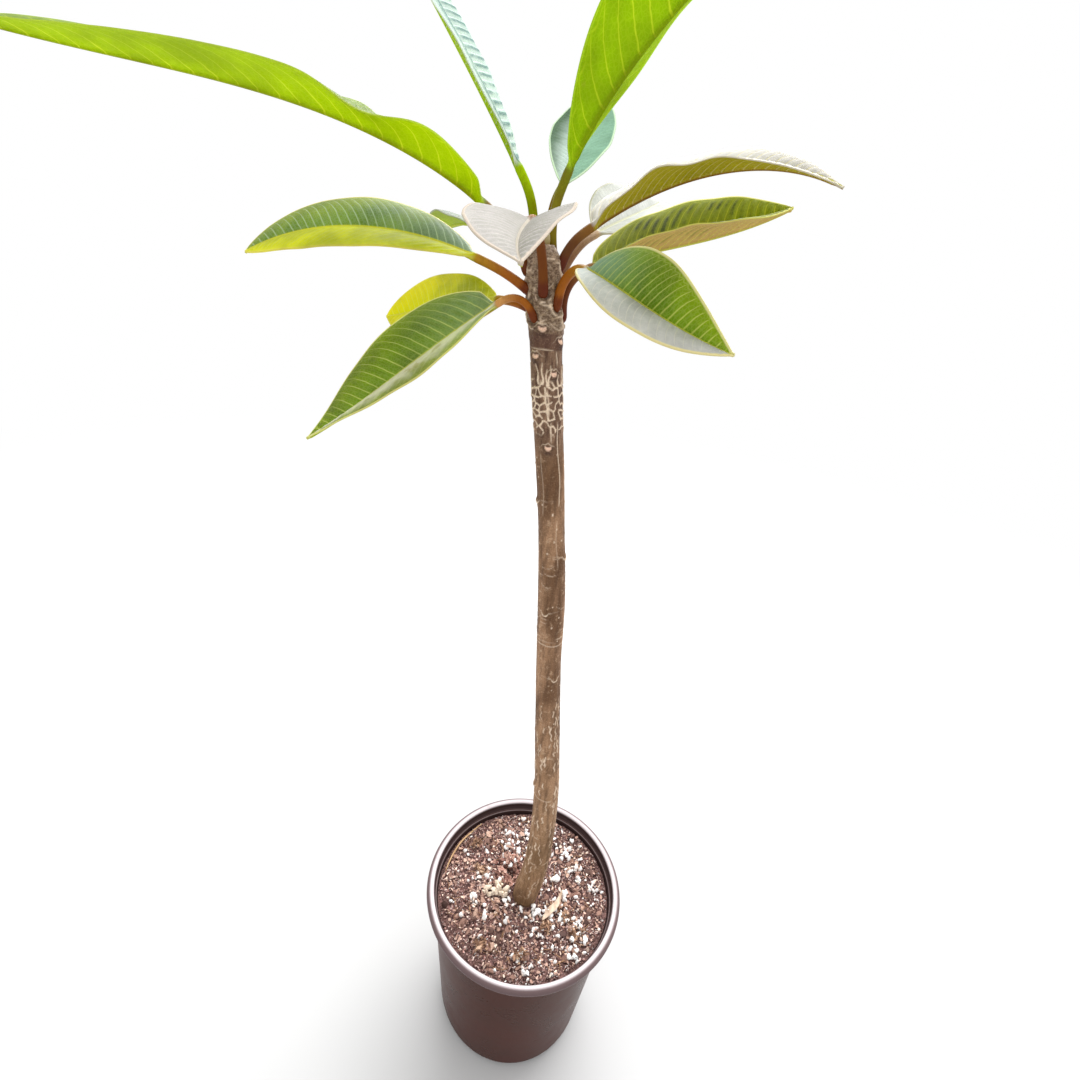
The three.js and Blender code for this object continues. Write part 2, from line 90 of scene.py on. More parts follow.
# ---- stem
STEM_LINE = [
    (1.5, 60), (1.5, 136), (6.3, 172), (7.1, 212), (5.3, 260), (-3.2, 342),
    (-10.5, 430), (-18, 489), (-28.7, 560), (-33.3, 594),
]  # x and height; the stem stands in one plane
STEM_Y = -2.5
STEM_RADII = [
    (60, 8.8), (120, 9.6), (150, 9.9), (260, 8.7), (345, 8.0), (375, 7.7),
    (415, 8.0), (460, 7.5), (520, 7.3), (560, 7.9), (587, 7.6),
]
STEM_TOP = 594.0
TIP_RADIUS = 5.0
BUD_RADIUS = 2.4
BUD_HEIGHT = 9.0
SCARS = [
    (190, 120), (236, 35), (268, -165), (298, -108), (330, 60), (365, -62), (396, 150), (412, -115),
    (438, 75), (447, -25), (478, -160), (507, -94), (519, 40), (532, 170), (542, -60), (549, -125),
    (551, 90), (556, -25), (561, -95),
]  # height, and the side it faces (0 = +X, -90 = front)

# ---- leaves
STALK_SWELL = 0.35  # the foot of a stalk is this much thicker than the stalk
STALK_FLARE = 5.0
ROOT_LENGTH = 5.0  # of the bent root that the stalk has inside the stem
MIDRIB_TIP_RADIUS = 0.5
BLADE_BULGE = 0.07
BLADE_START = 0.06
TIP_HALF_WIDTH = 0.7
RIPPLE_LAG = 115.0
RIB_THICKNESS = 0.8  # of the blade beside the midrib
EDGE_THICKNESS = 0.45
ROW_STEP = 0.9  # between two sections of a blade
HALF_COLUMNS = 26  # points from the midrib to a margin
RIB_COLUMNS = (0.0, 0.35, 0.65, 0.9, 1.15)  # the first of them, in midrib radii
VEIN_LEAN = 0.52  # how far a side vein runs forward for each step outward
VEIN_ARCH = 0.22  # how far it bends forward at the margin, as a part of the half width
STALK_STEP = 1.4  # between two sections of a stalk
ROOT_RINGS = 5
NO_MARGIN = 30.0  # the stalk counts as this far from a margin


def srgb(red, green, blue):
    """A colour of 0 to 255 as Blender's linear one."""
    parts = [value / 255 for value in (red, green, blue)]
    linear = [v / 12.92 if v <= 0.04045 else ((v + 0.055) / 1.055) ** 2.4 for v in parts]
    return (*linear, 1.0)


LEAF_LOOK = dict(
    upper=(104, 134, 22), lower=(160, 176, 20), rib_upper=(214, 208, 112), rib=(190, 190, 70),
    foot=(150, 84, 14), head=(168, 122, 24), lines=(214, 220, 120), edge=(214, 208, 104),
    base=None, base_left=1.0, base_right=1.0, band=None,
    outer=None, outer_start=0.45, outer_left=1.0, outer_right=1.0,
    patches=0.2, patch_shade=(34, 54, 4), patch_place=0.5, patch_reach=1.0, patch_noise=(0.42, 0.62),
    blotches=0.25, glow=(0.60, 0.80, 0.01), through=0.3, gloss=0.36, mirror=0.15,
    ripple=(0.4, 4, 0, 0.5, 0.5), quilt=0.22, vein_gap=4.2, rib_size=1.4, stalk_radius=1.9,
)


def leaf(name, at, side, stalk, blade, width, rise, heading, roll, fold, shape, **more):
    """One leaf, in the model's own terms, and how it looks.

    upper and lower are the colours of the left half's two faces, rib_upper and rib the midrib's, and names
    with _right are the right half's; a pale upper colour on some leaves is painted sky reflection.
    base tints the upper face near the stalk, on some leaves as a painted sheen, outer tints it towards
    margin and tip, and band is a painted reflection, a pale streak beside the midrib. patch_shade darkens it
    between the side veins. foot and head are the stalk's ends. glow is the light let through, and through
    its share.
    ripple is a wave of the margin: its height, number, phase, place and spread. quilt is how far the blade
    swells between two veins. mirror is how much it reflects, and gloss how rough it is.
    """
    row = SimpleNamespace(name=name, at=at, side=side, stalk=stalk, blade=blade, width=width)
    row.rise, row.heading, row.roll, row.fold, row.shape = rise, heading, roll, fold, shape
    look = {**LEAF_LOOK, **more}
    for key in ("upper", "lower", "through", "lines"):
        look.setdefault(key + "_right", look[key])
    vars(row).update(look)
    return row


LEAVES = [
    leaf(
        "leaf_long_left", 584, 175, 29, 176, 50.5, (65, 31, 8, 4), (166, 209, 184, 207), (-14, -38),
        (39, -6), (0.57, 0.5), ripple=(5.2, 2.7, -21, 0.26, 0.11),
        lower=(160, 186, 0), rib=(136, 120, 8), head=(128, 96, 8), foot=(112, 74, 8),
        upper=(150, 170, 110), glow=(0.56, 0.70, 0.0), through=0.6, lines=(228, 240, 40),
        edge=(206, 222, 90), blotches=0.3, vein_gap=7.2,
    ),
    # leaf_upright_left: its pale upper face is painted sky reflection, with the leaf's teal between the side
    # veins
    leaf(
        "leaf_upright_left", 590, 134, 34, 142, 50, (88, 48, 41, 36), (125, 141, 133, 124), (15, 9),
        (22, -7), (0.8, 0.8),
        mirror=0.0, upper=(206, 224, 216), rib=(176, 206, 30), foot=(112, 122, 10), head=(150, 184, 14),
        quilt=0.8, lower=(170, 200, 20), patches=1.0, lines=(236, 242, 244), edge=(220, 230, 222),
        through=0.2, vein_gap=5.4, patch_shade=(66, 112, 116), patch_noise=(0.3, 0.5),
    ),
    leaf(
        "leaf_tall_right", 591, 57, 30, 138, 59, (100, 68, 44, 50), (39, -27, -24, -8), (-7, 5), (21, 22),
        (1.05, 0.82), ripple=(1.2, 3, 0, 0.6, 0.4),
        lower=(156, 180, 2), lower_right=(124, 150, 2), rib=(100, 100, 2), foot=(120, 108, 6),
        head=(112, 116, 4), blotches=0.3, glow=(0.52, 0.71, 0.0), through=0.58, lines=(214, 236, 50),
        rib_size=2.0, edge=(196, 220, 60), vein_gap=7.0,
    ),
    # leaf_back: its pale upper faces are painted sky reflection
    leaf(
        "leaf_back", 580, 95, 51, 150, 36, (80, 25, 23, 36), (91, 80, 87, 82), (3, -10), (13, 15),
        (0.87, 0.8),
        upper=(190, 206, 198), upper_right=(144, 184, 160), foot=(104, 66, 14), head=(112, 118, 20),
        lines=(122, 152, 128), lines_right=(112, 152, 128), mirror=0.0, edge=(190, 212, 180),
        through=0.12, vein_gap=5.0, outer=(10, 54, 0), outer_start=0.4, outer_right=0.25,
    ),
    # leaf_upper_right: its whitish upper face is painted sky reflection
    leaf(
        "leaf_upper_right", 587, 2, 19, 105, 46, (69, 37, 16, -23), (21, 17, -8, -33), (-9, 24), (22, 15),
        (0.6, 1.3), ripple=(1.4, 3.5, 0, 0.3, 0.2),
        upper=(204, 198, 196), lower=(172, 154, 12), rib=(140, 98, 26), foot=(88, 50, 14),
        head=(124, 84, 30), through=0.12, lines=(226, 212, 150), edge=(206, 196, 176),
    ),
    # leaf_front: its pale grey upper face is partly painted sky reflection; the rest of its sheen is real
    # gloss
    leaf(
        "leaf_front", 577, -90, 46, 88, 36, (77, -6, -8, -9), (-115, -90, -88, -79), (-1, 11), (25, 19),
        (0.75, 1.05), ripple=(0.3, 3, 0, 0.5, 0.5),
        upper=(160, 154, 150), upper_right=(176, 170, 168), lower=(150, 150, 70), foot=(104, 54, 6),
        head=(144, 90, 14), through=0.15, lines=(198, 190, 184), edge=(206, 190, 176), gloss=0.6,
        blotches=0.1, rib_upper=(206, 196, 184),
    ),
    # leaf_left: base is a painted bluish sheen on the right half near the stalk
    leaf(
        "leaf_left", 576, 190, 24, 109, 44, (30, 17, -4, -29), (183, 177, 175, 178), (-13, -33), (3, 11),
        (0.76, 0.86), ripple=(0.15, 4, 0, 0.5, 0.5),
        upper=(222, 222, 0), upper_right=(104, 146, 60), base=(126, 152, 146), lower=(180, 190, 10),
        glow=(1.0, 1.0, 0.0), through=0.5, through_right=0.2, base_left=0.0, blotches=0.34,
        outer_left=0.0, lines=(232, 232, 60), lines_right=(196, 214, 170), rib_upper=(226, 220, 80),
        edge=(222, 206, 110), vein_gap=3.9, outer=(146, 164, 8), patches=0.3,
    ),
    # leaf_low_left: base is a painted greyish sheen near the stalk, and band a painted reflection beside the
    # midrib
    leaf(
        "leaf_low_left", 566, 232, 19, 106, 50, (59, -36, -39, -33), (192, 170, 200, 192), (-23, -2),
        (13, 25), (0.63, 1), ripple=(0.2, 4, 0, 0.5, 0.5),
        upper=(176, 180, 60), upper_right=(96, 122, 44), base=(132, 152, 130), band=(240, 232, 214),
        head=(196, 142, 80), stalk_radius=1.55, edge=(232, 222, 140), vein_gap=4.8, outer=(120, 132, 0),
        blotches=0.45, through=0.34, patches=0.7, patch_shade=(48, 70, 10), lines=(206, 214, 120),
    ),
    leaf(
        "leaf_left_behind", 568, 155, 17.8, 84.5, 39.7, (11, -3, -16, -12), (145, 150, 141, 155),
        (-5, -56), (6, 21), (0.92, 0.87), ripple=(0.3, 3, 0, 0.5, 0.5),
        upper=(226, 224, 4), upper_right=(210, 212, 10), base=(140, 152, 40), through=0.45,
        glow=(0.92, 0.88, 0.0), blotches=0.34, outer=(232, 216, 4), lines=(236, 230, 70),
    ),
    # leaf_low_right: its pale right half is painted sky reflection
    leaf(
        "leaf_low_right", 572, -40, 26, 80, 35, (84, -5, -16, -9), (-30, -66, -49, -37), (12, 56),
        (45, 26), (0.8, 0.97), ripple=(0.2, 3, 0, 0.5, 0.5),
        upper=(80, 116, 24), upper_right=(196, 194, 190), base=(124, 164, 172), edge=(224, 210, 150),
        vein_gap=3.5, outer=(124, 146, 2), outer_right=0.0, base_right=0.45, through_right=0.1,
        blotches=0.34, lines_right=(206, 204, 190),
    ),
    leaf(
        "leaf_right", 567, 0, 26, 95, 45, (95, 21, 17, 32), (23, 40, 5, 6), (0, 27), (32, 32),
        (0.9, 0.88),
        upper=(140, 150, 0), lower=(204, 162, 96), foot=(96, 46, 14), head=(140, 100, 40), quilt=1.0,
        patches=1.25, lines=(214, 216, 50), through=0.2, gloss=0.5, vein_gap=4.6, patch_shade=(14, 26, 0),
        patch_place=0.48, patch_reach=0.36, patch_noise=(0.42, 0.52),
    ),
    # leaf_right_back: its whitish upper face and midrib are painted sky reflection
    leaf(
        "leaf_right_back", 581, 35, 35, 112, 44, (56, 14, 12, 12), (51, 66, 69, 71), (16, 16), (20, 14),
        (0.8, 0.8),
        rib_upper=(206, 206, 180), upper=(196, 196, 192), foot=(140, 104, 74), head=(160, 128, 84),
        lines=(150, 158, 146), edge=(196, 192, 172), gloss=0.5, through=0.12,
    ),
    # leaf_left_back: its grey upper face is painted sheen
    leaf(
        "leaf_left_back", 573, 122, 29, 115, 42, (46, 17, 5, -14), (93, 125, 122, 119), (0, 0), (12, 12),
        (0.8, 0.8),
        upper=(150, 154, 158), lines=(120, 128, 124), edge=(170, 170, 160), gloss=0.5,
    ),
]


# ---- small helpers
def smooth(value):
    value = np.clip(value, 0, 1)
    return value * value * (3 - 2 * value)


def lerp(start, end, part):
    return start + (end - start) * part


def hump(distance, reach):
    """1 at no distance, falling off to nothing at a few times the reach."""
    return np.exp(-((distance / reach) ** 2))


def unit(vectors):
    return vectors / np.maximum(np.linalg.norm(vectors, axis=-1, keepdims=True), 1e-12)


def scatter(i, j):
    """A repeatable number from 0 to 1 for each pair of whole numbers."""
    value = np.sin(i * 127.1 + j * 311.7 + 17.3) * 43758.5453
    return value - np.floor(value)


def bumps(x, y, size=1.0):
    """Smooth bumps of about the given size, from -1 to 1."""
    u, v = x / size, y / size
    i, j = np.floor(u), np.floor(v)
    s, t = smooth(u - i), smooth(v - j)
    low = lerp(scatter(i, j), scatter(i + 1, j), s)
    high = lerp(scatter(i, j + 1), scatter(i + 1, j + 1), s)
    return lerp(low, high, t) * 2 - 1


def curve_through(places, values, at):
    """A smooth curve through the given values (Catmull-Rom)."""
    places, values = np.asarray(places, float), np.asarray(values, float)
    slopes = np.gradient(values, places)
    index = np.clip(np.searchsorted(places, at) - 1, 0, len(places) - 2)
    span = places[index + 1] - places[index]
    t = (at - places[index]) / span
    start = (1 + 2 * t) * (1 - t) ** 2 * values[index] + t * (1 - t) ** 2 * span * slopes[index]
    end = t * t * (3 - 2 * t) * values[index + 1] + t * t * (t - 1) * span * slopes[index + 1]
    return start + end


def make_piece(name, points, faces, material, replaces=(), marks=None, flat=False):
    """One object of the plant: points in millimetres, marks are vectors kept for the material."""
    mesh = bpy.data.meshes.new(name)
    mesh.from_pydata((np.asarray(points, float) * MM).tolist(), [], faces)
    mesh.polygons.foreach_set("use_smooth", [not flat] * len(mesh.polygons))
    for mark, values in (marks or {}).items():
        layer = mesh.attributes.new(mark, "FLOAT_VECTOR", "POINT")
        layer.data.foreach_set("vector", np.asarray(values, np.float32).ravel())
    mesh.materials.append(material)
    mesh.update()
    piece = bpy.data.objects.new(name, mesh)
    bpy.context.scene.collection.objects.link(piece)
    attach(piece, BODY)
    if replaces:
        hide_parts(*replaces)
    return piece


def capped_tube(rings):
    """Points and faces of a closed skin over rings of points, with a fan over both ends."""
    rows, sides = rings.shape[:2]
    first, last = rows * sides, rows * sides + 1
    points = np.vstack([rings.reshape(-1, 3), rings[0].mean(0), rings[-1].mean(0)])
    index = np.arange(rows * sides).reshape(rows, sides)
    after = np.roll(index, -1, axis=1)
    faces = np.stack([index[:-1], after[:-1], after[1:], index[1:]], axis=-1).reshape(-1, 4).tolist()
    ends = np.stack([index[0], after[0], index[-1], after[-1]], axis=-1)
    for a, b, c, d in ends.tolist():
        faces += [[b, a, first], [c, d, last]]
    return points, faces


class Graph:
    """Short forms for the nodes of one material."""

    def __init__(self, name):
        self.material = bpy.data.materials.new(name)
        self.material.use_nodes = True
        self.tree = self.material.node_tree
        self.tree.nodes.clear()
        self.place = self.node("ShaderNodeTexCoord").outputs["Object"]

    def node(self, kind, inputs=None, **settings):
        node = self.tree.nodes.new(kind)
        for key, value in settings.items():
            setattr(node, key, value)
        for key, value in (inputs or {}).items():
            if isinstance(value, bpy.types.NodeSocket):
                self.tree.links.new(value, node.inputs[key])
            else:
                node.inputs[key].default_value = value
        return node

    def math(self, operation, first, second=0.0):
        return self.node("ShaderNodeMath", {0: first, 1: second}, operation=operation).outputs[0]

    def plus(self, first, second):
        return self.math("ADD", first, second)

    def times(self, first, second):
        return self.math("MULTIPLY", first, second)

    def larger(self, first, second):
        return self.math("MAXIMUM", first, second)

    def apart(self, first, second):
        return self.math("ABSOLUTE", self.math("SUBTRACT", first, second))

    def centred(self, noise, size):
        """A noise of 0 to 1 moved round nothing, and this many times as large."""
        return self.times(self.math("SUBTRACT", noise, 0.5), size)

    def mix(self, factor, first, second):
        """Two colours mixed; one that is three numbers is an sRGB colour of 0 to 255."""
        first, second = [srgb(*c) if isinstance(c, tuple) and len(c) == 3 else c for c in (first, second)]
        return self.node("ShaderNodeMix", {0: factor, 6: first, 7: second}, data_type="RGBA").outputs[2]

    def between(self, value, low, high, start, end):
        """start below low, end above high, and a smooth step from one to the other."""
        inputs = {0: value, 1: low, 2: high, 3: start, 4: end}
        return self.node("ShaderNodeMapRange", inputs, interpolation_type="SMOOTHSTEP").outputs[0]

    def rise(self, value, low, high, top=1.0):
        return self.between(value, low, high, 0.0, top)

    def fall(self, value, low, high, top=1.0):
        return self.between(value, low, high, top, 0.0)

    def height(self):
        """Height above the floor in millimetres."""
        return self.times(self.node("ShaderNodeSeparateXYZ", {0: self.place}).outputs[2], 1 / MM)

    def noise(self, scale, detail=3.0, roughness=0.5, vector=None):
        inputs = {"Vector": vector or self.place, "Scale": scale, "Detail": detail, "Roughness": roughness}
        return self.node("ShaderNodeTexNoise", inputs).outputs[0]

    def cells(self, scale, feature="DISTANCE_TO_EDGE", vector=None):
        inputs = {"Vector": vector or self.place, "Scale": scale}
        return self.node("ShaderNodeTexVoronoi", inputs, feature=feature).outputs[0]

    def marks(self, name):
        """The three numbers that a piece keeps at each point under this name."""
        vector = self.node("ShaderNodeAttribute", attribute_name=name).outputs["Vector"]
        return self.node("ShaderNodeSeparateXYZ", {0: vector}).outputs[:3]

    def stretched(self, x, y, z):
        """The place, stretched along the axes."""
        inputs = {"Vector": self.place, "Scale": (x, y, z)}
        return self.node("ShaderNodeMapping", inputs).outputs[0]

    def bump(self, height, distance, strength):
        inputs = {"Height": height, "Distance": distance, "Strength": strength}
        return self.node("ShaderNodeBump", inputs).outputs[0]

    def skin(self, colour, roughness, normal=None, through=None, **constants):
        """The surface: a Principled shader, with light let through where through is (share, colour)."""
        inputs = {"Base Color": colour, "Roughness": roughness}
        for key, value in constants.items():
            inputs[key.replace("_", " ").title().replace("Ior", "IOR")] = value
        if normal is not None:
            inputs["Normal"] = normal
        surface = self.node("ShaderNodeBsdfPrincipled", inputs).outputs[0]
        if through is not None:
            glow = self.node("ShaderNodeBsdfTranslucent", {"Color": through[1]}).outputs[0]
            surface = self.node("ShaderNodeMixShader", {0: through[0], 1: surface, 2: glow}).outputs[0]
        self.node("ShaderNodeOutputMaterial", {"Surface": surface})
        return self.material


# ---- the stem's form
def stem_centre(height):
    places = [z for _, z in STEM_LINE]
    x = curve_through(places, [x for x, _ in STEM_LINE], np.clip(height, places[0], places[-1]))
    return np.stack([x, np.full_like(x, STEM_Y), height], axis=-1)


def stem_radius(height):
    places, radii = [z for z, _ in STEM_RADII], [r for _, r in STEM_RADII]
    radius = np.interp(height, places, radii)
    part = np.clip((height - places[-1]) / (STEM_TOP - places[-1]), 0, 1)
    return lerp(radius, TIP_RADIUS, part * part)


# ---- leaves
def through_three(part, start, middle, end):
    """A curve of degree two through three values, at 0, 1/2 and 1."""
    return start * (1 - part) * (1 - 2 * part) + middle * 4 * part * (1 - part) + end * part * (2 * part - 1)


def direction_at(row, distance):
    """Slope and heading of the midrib, in radians, at distances from the stalk's foot."""
    in_stalk = distance < row.stalk
    early = smooth(distance / row.stalk)
    late = (distance - row.stalk) / row.blade
    found = []
    for values in (row.rise, row.heading):
        stalk = lerp(values[0], values[1], early)
        blade = through_three(late, *values[1:])
        found.append(np.radians(np.where(in_stalk, stalk, blade)))
    return found


def tangent_at(row, distance):
    rise, heading = direction_at(row, distance)
    return np.stack([np.cos(rise) * np.cos(heading), np.cos(rise) * np.sin(heading), np.sin(rise)], axis=-1)


def midrib_points(row, distance):
    step = 0.5
    walked = np.arange(0, row.stalk + row.blade + 2 * step, step)
    moves = tangent_at(row, walked[:-1] + step / 2) * step
    side = math.radians(row.side)
    foot = stem_centre(np.array([float(row.at)]))[0]
    foot += stem_radius(row.at) * np.array([math.cos(side), math.sin(side), 0])
    path = foot + np.vstack([np.zeros(3), np.cumsum(moves, axis=0)])
    return np.stack([np.interp(distance, walked, path[:, k]) for k in range(3)], axis=-1)


def section_axes(row, distance):
    """Left across the blade and up out of its upper face, for each section."""
    _, heading = direction_at(row, distance)
    along = tangent_at(row, distance)
    left = np.stack([-np.sin(heading), np.cos(heading), np.zeros_like(heading)], axis=-1)
    up = unit(np.cross(along, left))
    part = np.clip((distance - row.stalk) / row.blade, 0, 1)
    roll = np.radians(lerp(row.roll[0], row.roll[1], part))[:, None]
    return left * np.cos(roll) + up * np.sin(roll), up * np.cos(roll) - left * np.sin(roll)


def blade_profile(part, widening, narrowing):
    widest = widening / (widening + narrowing)
    top = widest**widening * (1 - widest) ** narrowing
    return part**widening * (1 - part) ** narrowing / top


def vein_count(row):
    return round(row.blade / row.vein_gap)


def section_distances(row):
    stalk = np.linspace(0, row.stalk, round(row.stalk / STALK_STEP), endpoint=False)
    even = np.linspace(0, 1, round(row.blade / ROW_STEP))
    eased = (1 - np.cos(np.pi * even)) / 2
    return np.concatenate([stalk, row.stalk + row.blade * (0.6 * even + 0.4 * eased)])


def across_places(rib, half_width):
    """Distances of a section's points from the midrib, from the left margin to the right one."""
    beside = RIB_COLUMNS[-1] * rib[:, None]
    even = np.linspace(0, 1, HALF_COLUMNS - len(RIB_COLUMNS) + 2)[1:]
    outer = beside + (half_width[:, None] - beside) * even
    half = np.hstack([rib[:, None] * np.array(RIB_COLUMNS), outer])
    return np.hstack([half[:, ::-1], -half[:, 1:]])


def blade_surface(row, part, half_width, rib, across, axes, centre):
    """Points of the blade's middle surface, its normal, and how far a side vein's number has run."""
    left, up = axes
    sign = np.where(across >= 0, 1.0, -1.0)
    out = np.abs(across) / half_width[:, None]
    fold = np.radians(np.where(across >= 0, row.fold[0], row.fold[1]))[..., None]
    outward = left[:, None] * sign[..., None] * np.cos(fold) + up[:, None] * np.sin(fold)
    slanted = up[:, None] * np.cos(fold) - left[:, None] * sign[..., None] * np.sin(fold)
    beside = smooth(np.abs(across) / (1.3 * rib[:, None]))[..., None]
    normal = unit(lerp(np.broadcast_to(up[:, None], slanted.shape), slanted, beside))
    height, waves, phase, place, spread = row.ripple
    swell = height * hump(part - place, spread)[:, None]
    turn = np.radians(360 * waves * part[:, None] + phase + np.where(sign > 0, 0, RIPPLE_LAG))
    wave = swell * out * out * np.sin(turn)
    bulge = BLADE_BULGE * half_width[:, None] * 4 * out * (1 - out)
    start = part[:, None] * row.blade - np.abs(across) * VEIN_LEAN
    start -= VEIN_ARCH * half_width[:, None] * out**4
    veins = vein_count(row) * start / row.blade + np.where(sign > 0, 0.0, 0.5)
    veins += 0.16 * bumps(start * 0.11, across * 0.05 + row.at)
    pucker = np.sin(np.pi * veins) ** 2
    puckered = smooth((out - 0.06) / 0.14) * smooth((0.95 - out) / 0.2) * smooth(part / 0.12)[:, None]
    quilting = row.quilt * puckered * (pucker - 0.5)
    crumple = 0.12 * out * bumps(start * 0.09, across * 0.06 - row.at)
    points = centre[:, None] + outward * np.abs(across)[..., None]
    points = points + normal * (bulge + wave + quilting + crumple)[..., None]
    return points, normal, veins


def tube_rings(centre, left, up, radius, turn):
    """Rings of points round a path, each in the plane of its own left and up."""
    round_it = left[:, None] * np.cos(turn)[None, :, None] + up[:, None] * np.sin(turn)[None, :, None]
    return centre[:, None] + radius[:, None, None] * round_it


def stalk_root(row, foot, left, radius, turn):
    """Rings of the stalk's root: it runs on down from the foot, and bends into the stem."""
    back = -tangent_at(row, np.zeros(1))[0]
    inward = unit(stem_centre(np.array([float(row.at)]))[0] - foot)
    part = np.arange(ROOT_RINGS) / ROOT_RINGS
    ways = unit(lerp(back, inward, smooth(part * 1.2)[:, None]))
    step = ROOT_LENGTH / ROOT_RINGS
    path = foot + np.cumsum(ways * step, axis=0)
    across = unit(left - ways * (ways @ left)[:, None])
    up = np.cross(-ways, across)
    narrowed = radius * (1 - 0.45 * (part + 1 / ROOT_RINGS) ** 2)
    return tube_rings(path, across, up, narrowed, turn)[::-1]


def make_leaf(row):
    distance = section_distances(row)
    centre = midrib_points(row, distance)
    left, up = section_axes(row, distance)
    part = np.clip((distance - row.stalk) / row.blade, 0, 1)
    profile = blade_profile(part, *row.shape)
    uneven = 1 + 0.006 * bumps(part * 9, np.full_like(part, row.at))
    half_width = np.maximum(TIP_HALF_WIDTH, row.width / 2 * profile * uneven)
    rib = np.minimum(lerp(row.rib_size, MIDRIB_TIP_RADIUS, np.sqrt(part)), half_width * 0.4)
    across = across_places(rib, half_width)
    middle, normal, veins = blade_surface(row, part, half_width, rib, across, (left, up), centre)
    out = np.abs(across) / half_width[:, None]
    thick = lerp(RIB_THICKNESS, EDGE_THICKNESS, smooth(out))[..., None] / 2
    ratio = np.abs(across) / rib[:, None]
    keel = (rib[:, None] * np.sqrt(np.clip(1 - (ratio / RIB_COLUMNS[-1]) ** 2, 0, 1)))[..., None]
    groove = (0.3 * rib[:, None] * hump(ratio, 0.7))[..., None]
    upper = middle + normal * (thick - groove)
    lower = middle - normal * (thick + keel)
    flat = np.concatenate([upper, lower[:, ::-1]], axis=1)
    columns = across.shape[1]
    turn = np.pi * (np.arange(2 * columns) + 0.5) / columns
    radius = row.stalk_radius + STALK_SWELL * np.exp(-distance / STALK_FLARE)
    round_rings = tube_rings(centre, left, up, radius, turn)
    rings = lerp(round_rings, flat, smooth(part / BLADE_START)[:, None, None])
    rings = np.concatenate([stalk_root(row, centre[0], left[0], radius[0], turn), rings])
    points, faces = capped_tube(rings)

    def both(values, below=1.0):
        """Marks of the two faces of each section, with those of the root's rings and the two ends."""
        values = np.broadcast_to(values, across.shape)
        whole = np.hstack([values, below * values[:, ::-1]])
        whole = np.concatenate([np.repeat(whole[:1], ROOT_RINGS, axis=0), whole])
        return np.append(whole, [below * whole[0, 0], below * whole[-1, 0]])

    along = (distance - row.stalk)[:, None]
    toward_foot = 1 - (distance / row.stalk)[:, None]
    margin = np.where(part > 0, half_width, NO_MARGIN)[:, None] - np.abs(across)
    marks = {
        "leaf_place": np.stack([both(along), both(across), both(veins)], axis=-1),
        "leaf_side": np.stack([both(1.0, below=0.0), both(toward_foot), both(margin)], axis=-1),
        "leaf_rib": np.stack([both(ratio), both(out), both(part[:, None])], axis=-1),
    }
    make_piece(row.name + "_fine", points, faces, leaf_material(row), [row.name], marks)


class LeafGraph(Graph):
    """The nodes of one leaf's material, with the marks that make_leaf gives its points."""

    def __init__(self, row):
        super().__init__(row.name + "_skin")
        self.along, self.across, self.veins = self.marks("leaf_place")
        self.upper, self.toward_foot, self.margin = self.marks("leaf_side")
        self.ratio, self.out, self.part = self.marks("leaf_rib")
        self.in_blade = self.fall(self.toward_foot, -0.12, 0.0)
        self.on_left = self.rise(self.across, -0.2, 0.2)
        self.blotch = self.noise(38, 4, 0.6)
        self.grain = self.noise(420, 3, 0.6)
        self.spacing = row.blade / vein_count(row)
        self.wobble = self.centred(self.noise(260, 2), 0.16)
        self.near = self.off_veins(0.0)

    def off_veins(self, shift):
        """Millimetres from the nearest side vein, with all of them moved on by a share of their spacing."""
        number = self.plus(self.plus(self.veins, shift), self.wobble)
        return self.times(self.math("PINGPONG", number, 0.5), self.spacing)

    def halves(self, left, right):
        """One number on the blade's left half and another on its right half."""
        return self.between(self.across, -0.2, 0.2, right, left)


def vein_lines(g):
    """The side veins, loops that join them near the margin, finer veins between them, and a fine net."""
    wide = g.between(g.out, 0.0, 1.0, 0.5, 0.24)
    vein = g.fall(g.math("DIVIDE", g.near, wide), 0.35, 1.0)
    vein = g.times(vein, g.rise(g.margin, 0.6, 2.6))
    arch = g.plus(g.times(g.near, 0.45), 1.2)
    loop = g.fall(g.apart(g.margin, arch), 0.1, 0.35, 0.5)
    loop = g.times(loop, g.fall(g.part, 0.65, 0.85))
    minor = g.times(g.fall(g.off_veins(0.5), 0.06, 0.24, 0.28), g.fall(g.out, 0.5, 0.75))
    net = g.fall(g.cells(620), 0.02, 0.12, 0.26)
    return g.times(g.larger(g.larger(vein, loop), g.larger(minor, net)), g.in_blade)


def dark_share(g, row):
    """How much of the dark green shows: in broad blotches, and in patches between the side veins."""
    patch = g.rise(g.times(g.near, 2 / g.spacing), 0.3, 0.9)
    patch = g.times(patch, g.between(g.noise(70, 3), *row.patch_noise, 0.25, 1.0))
    patch = g.times(patch, g.fall(g.apart(g.out, 0.5), 0.2, 0.5))
    away = g.apart(g.part, row.patch_place)
    patch = g.times(patch, g.between(away, row.patch_reach * 0.6, row.patch_reach, 1.0, 0.3))
    return g.larger(g.fall(g.blotch, 0.3, 0.62, row.blotches), g.times(patch, 0.8 * row.patches))


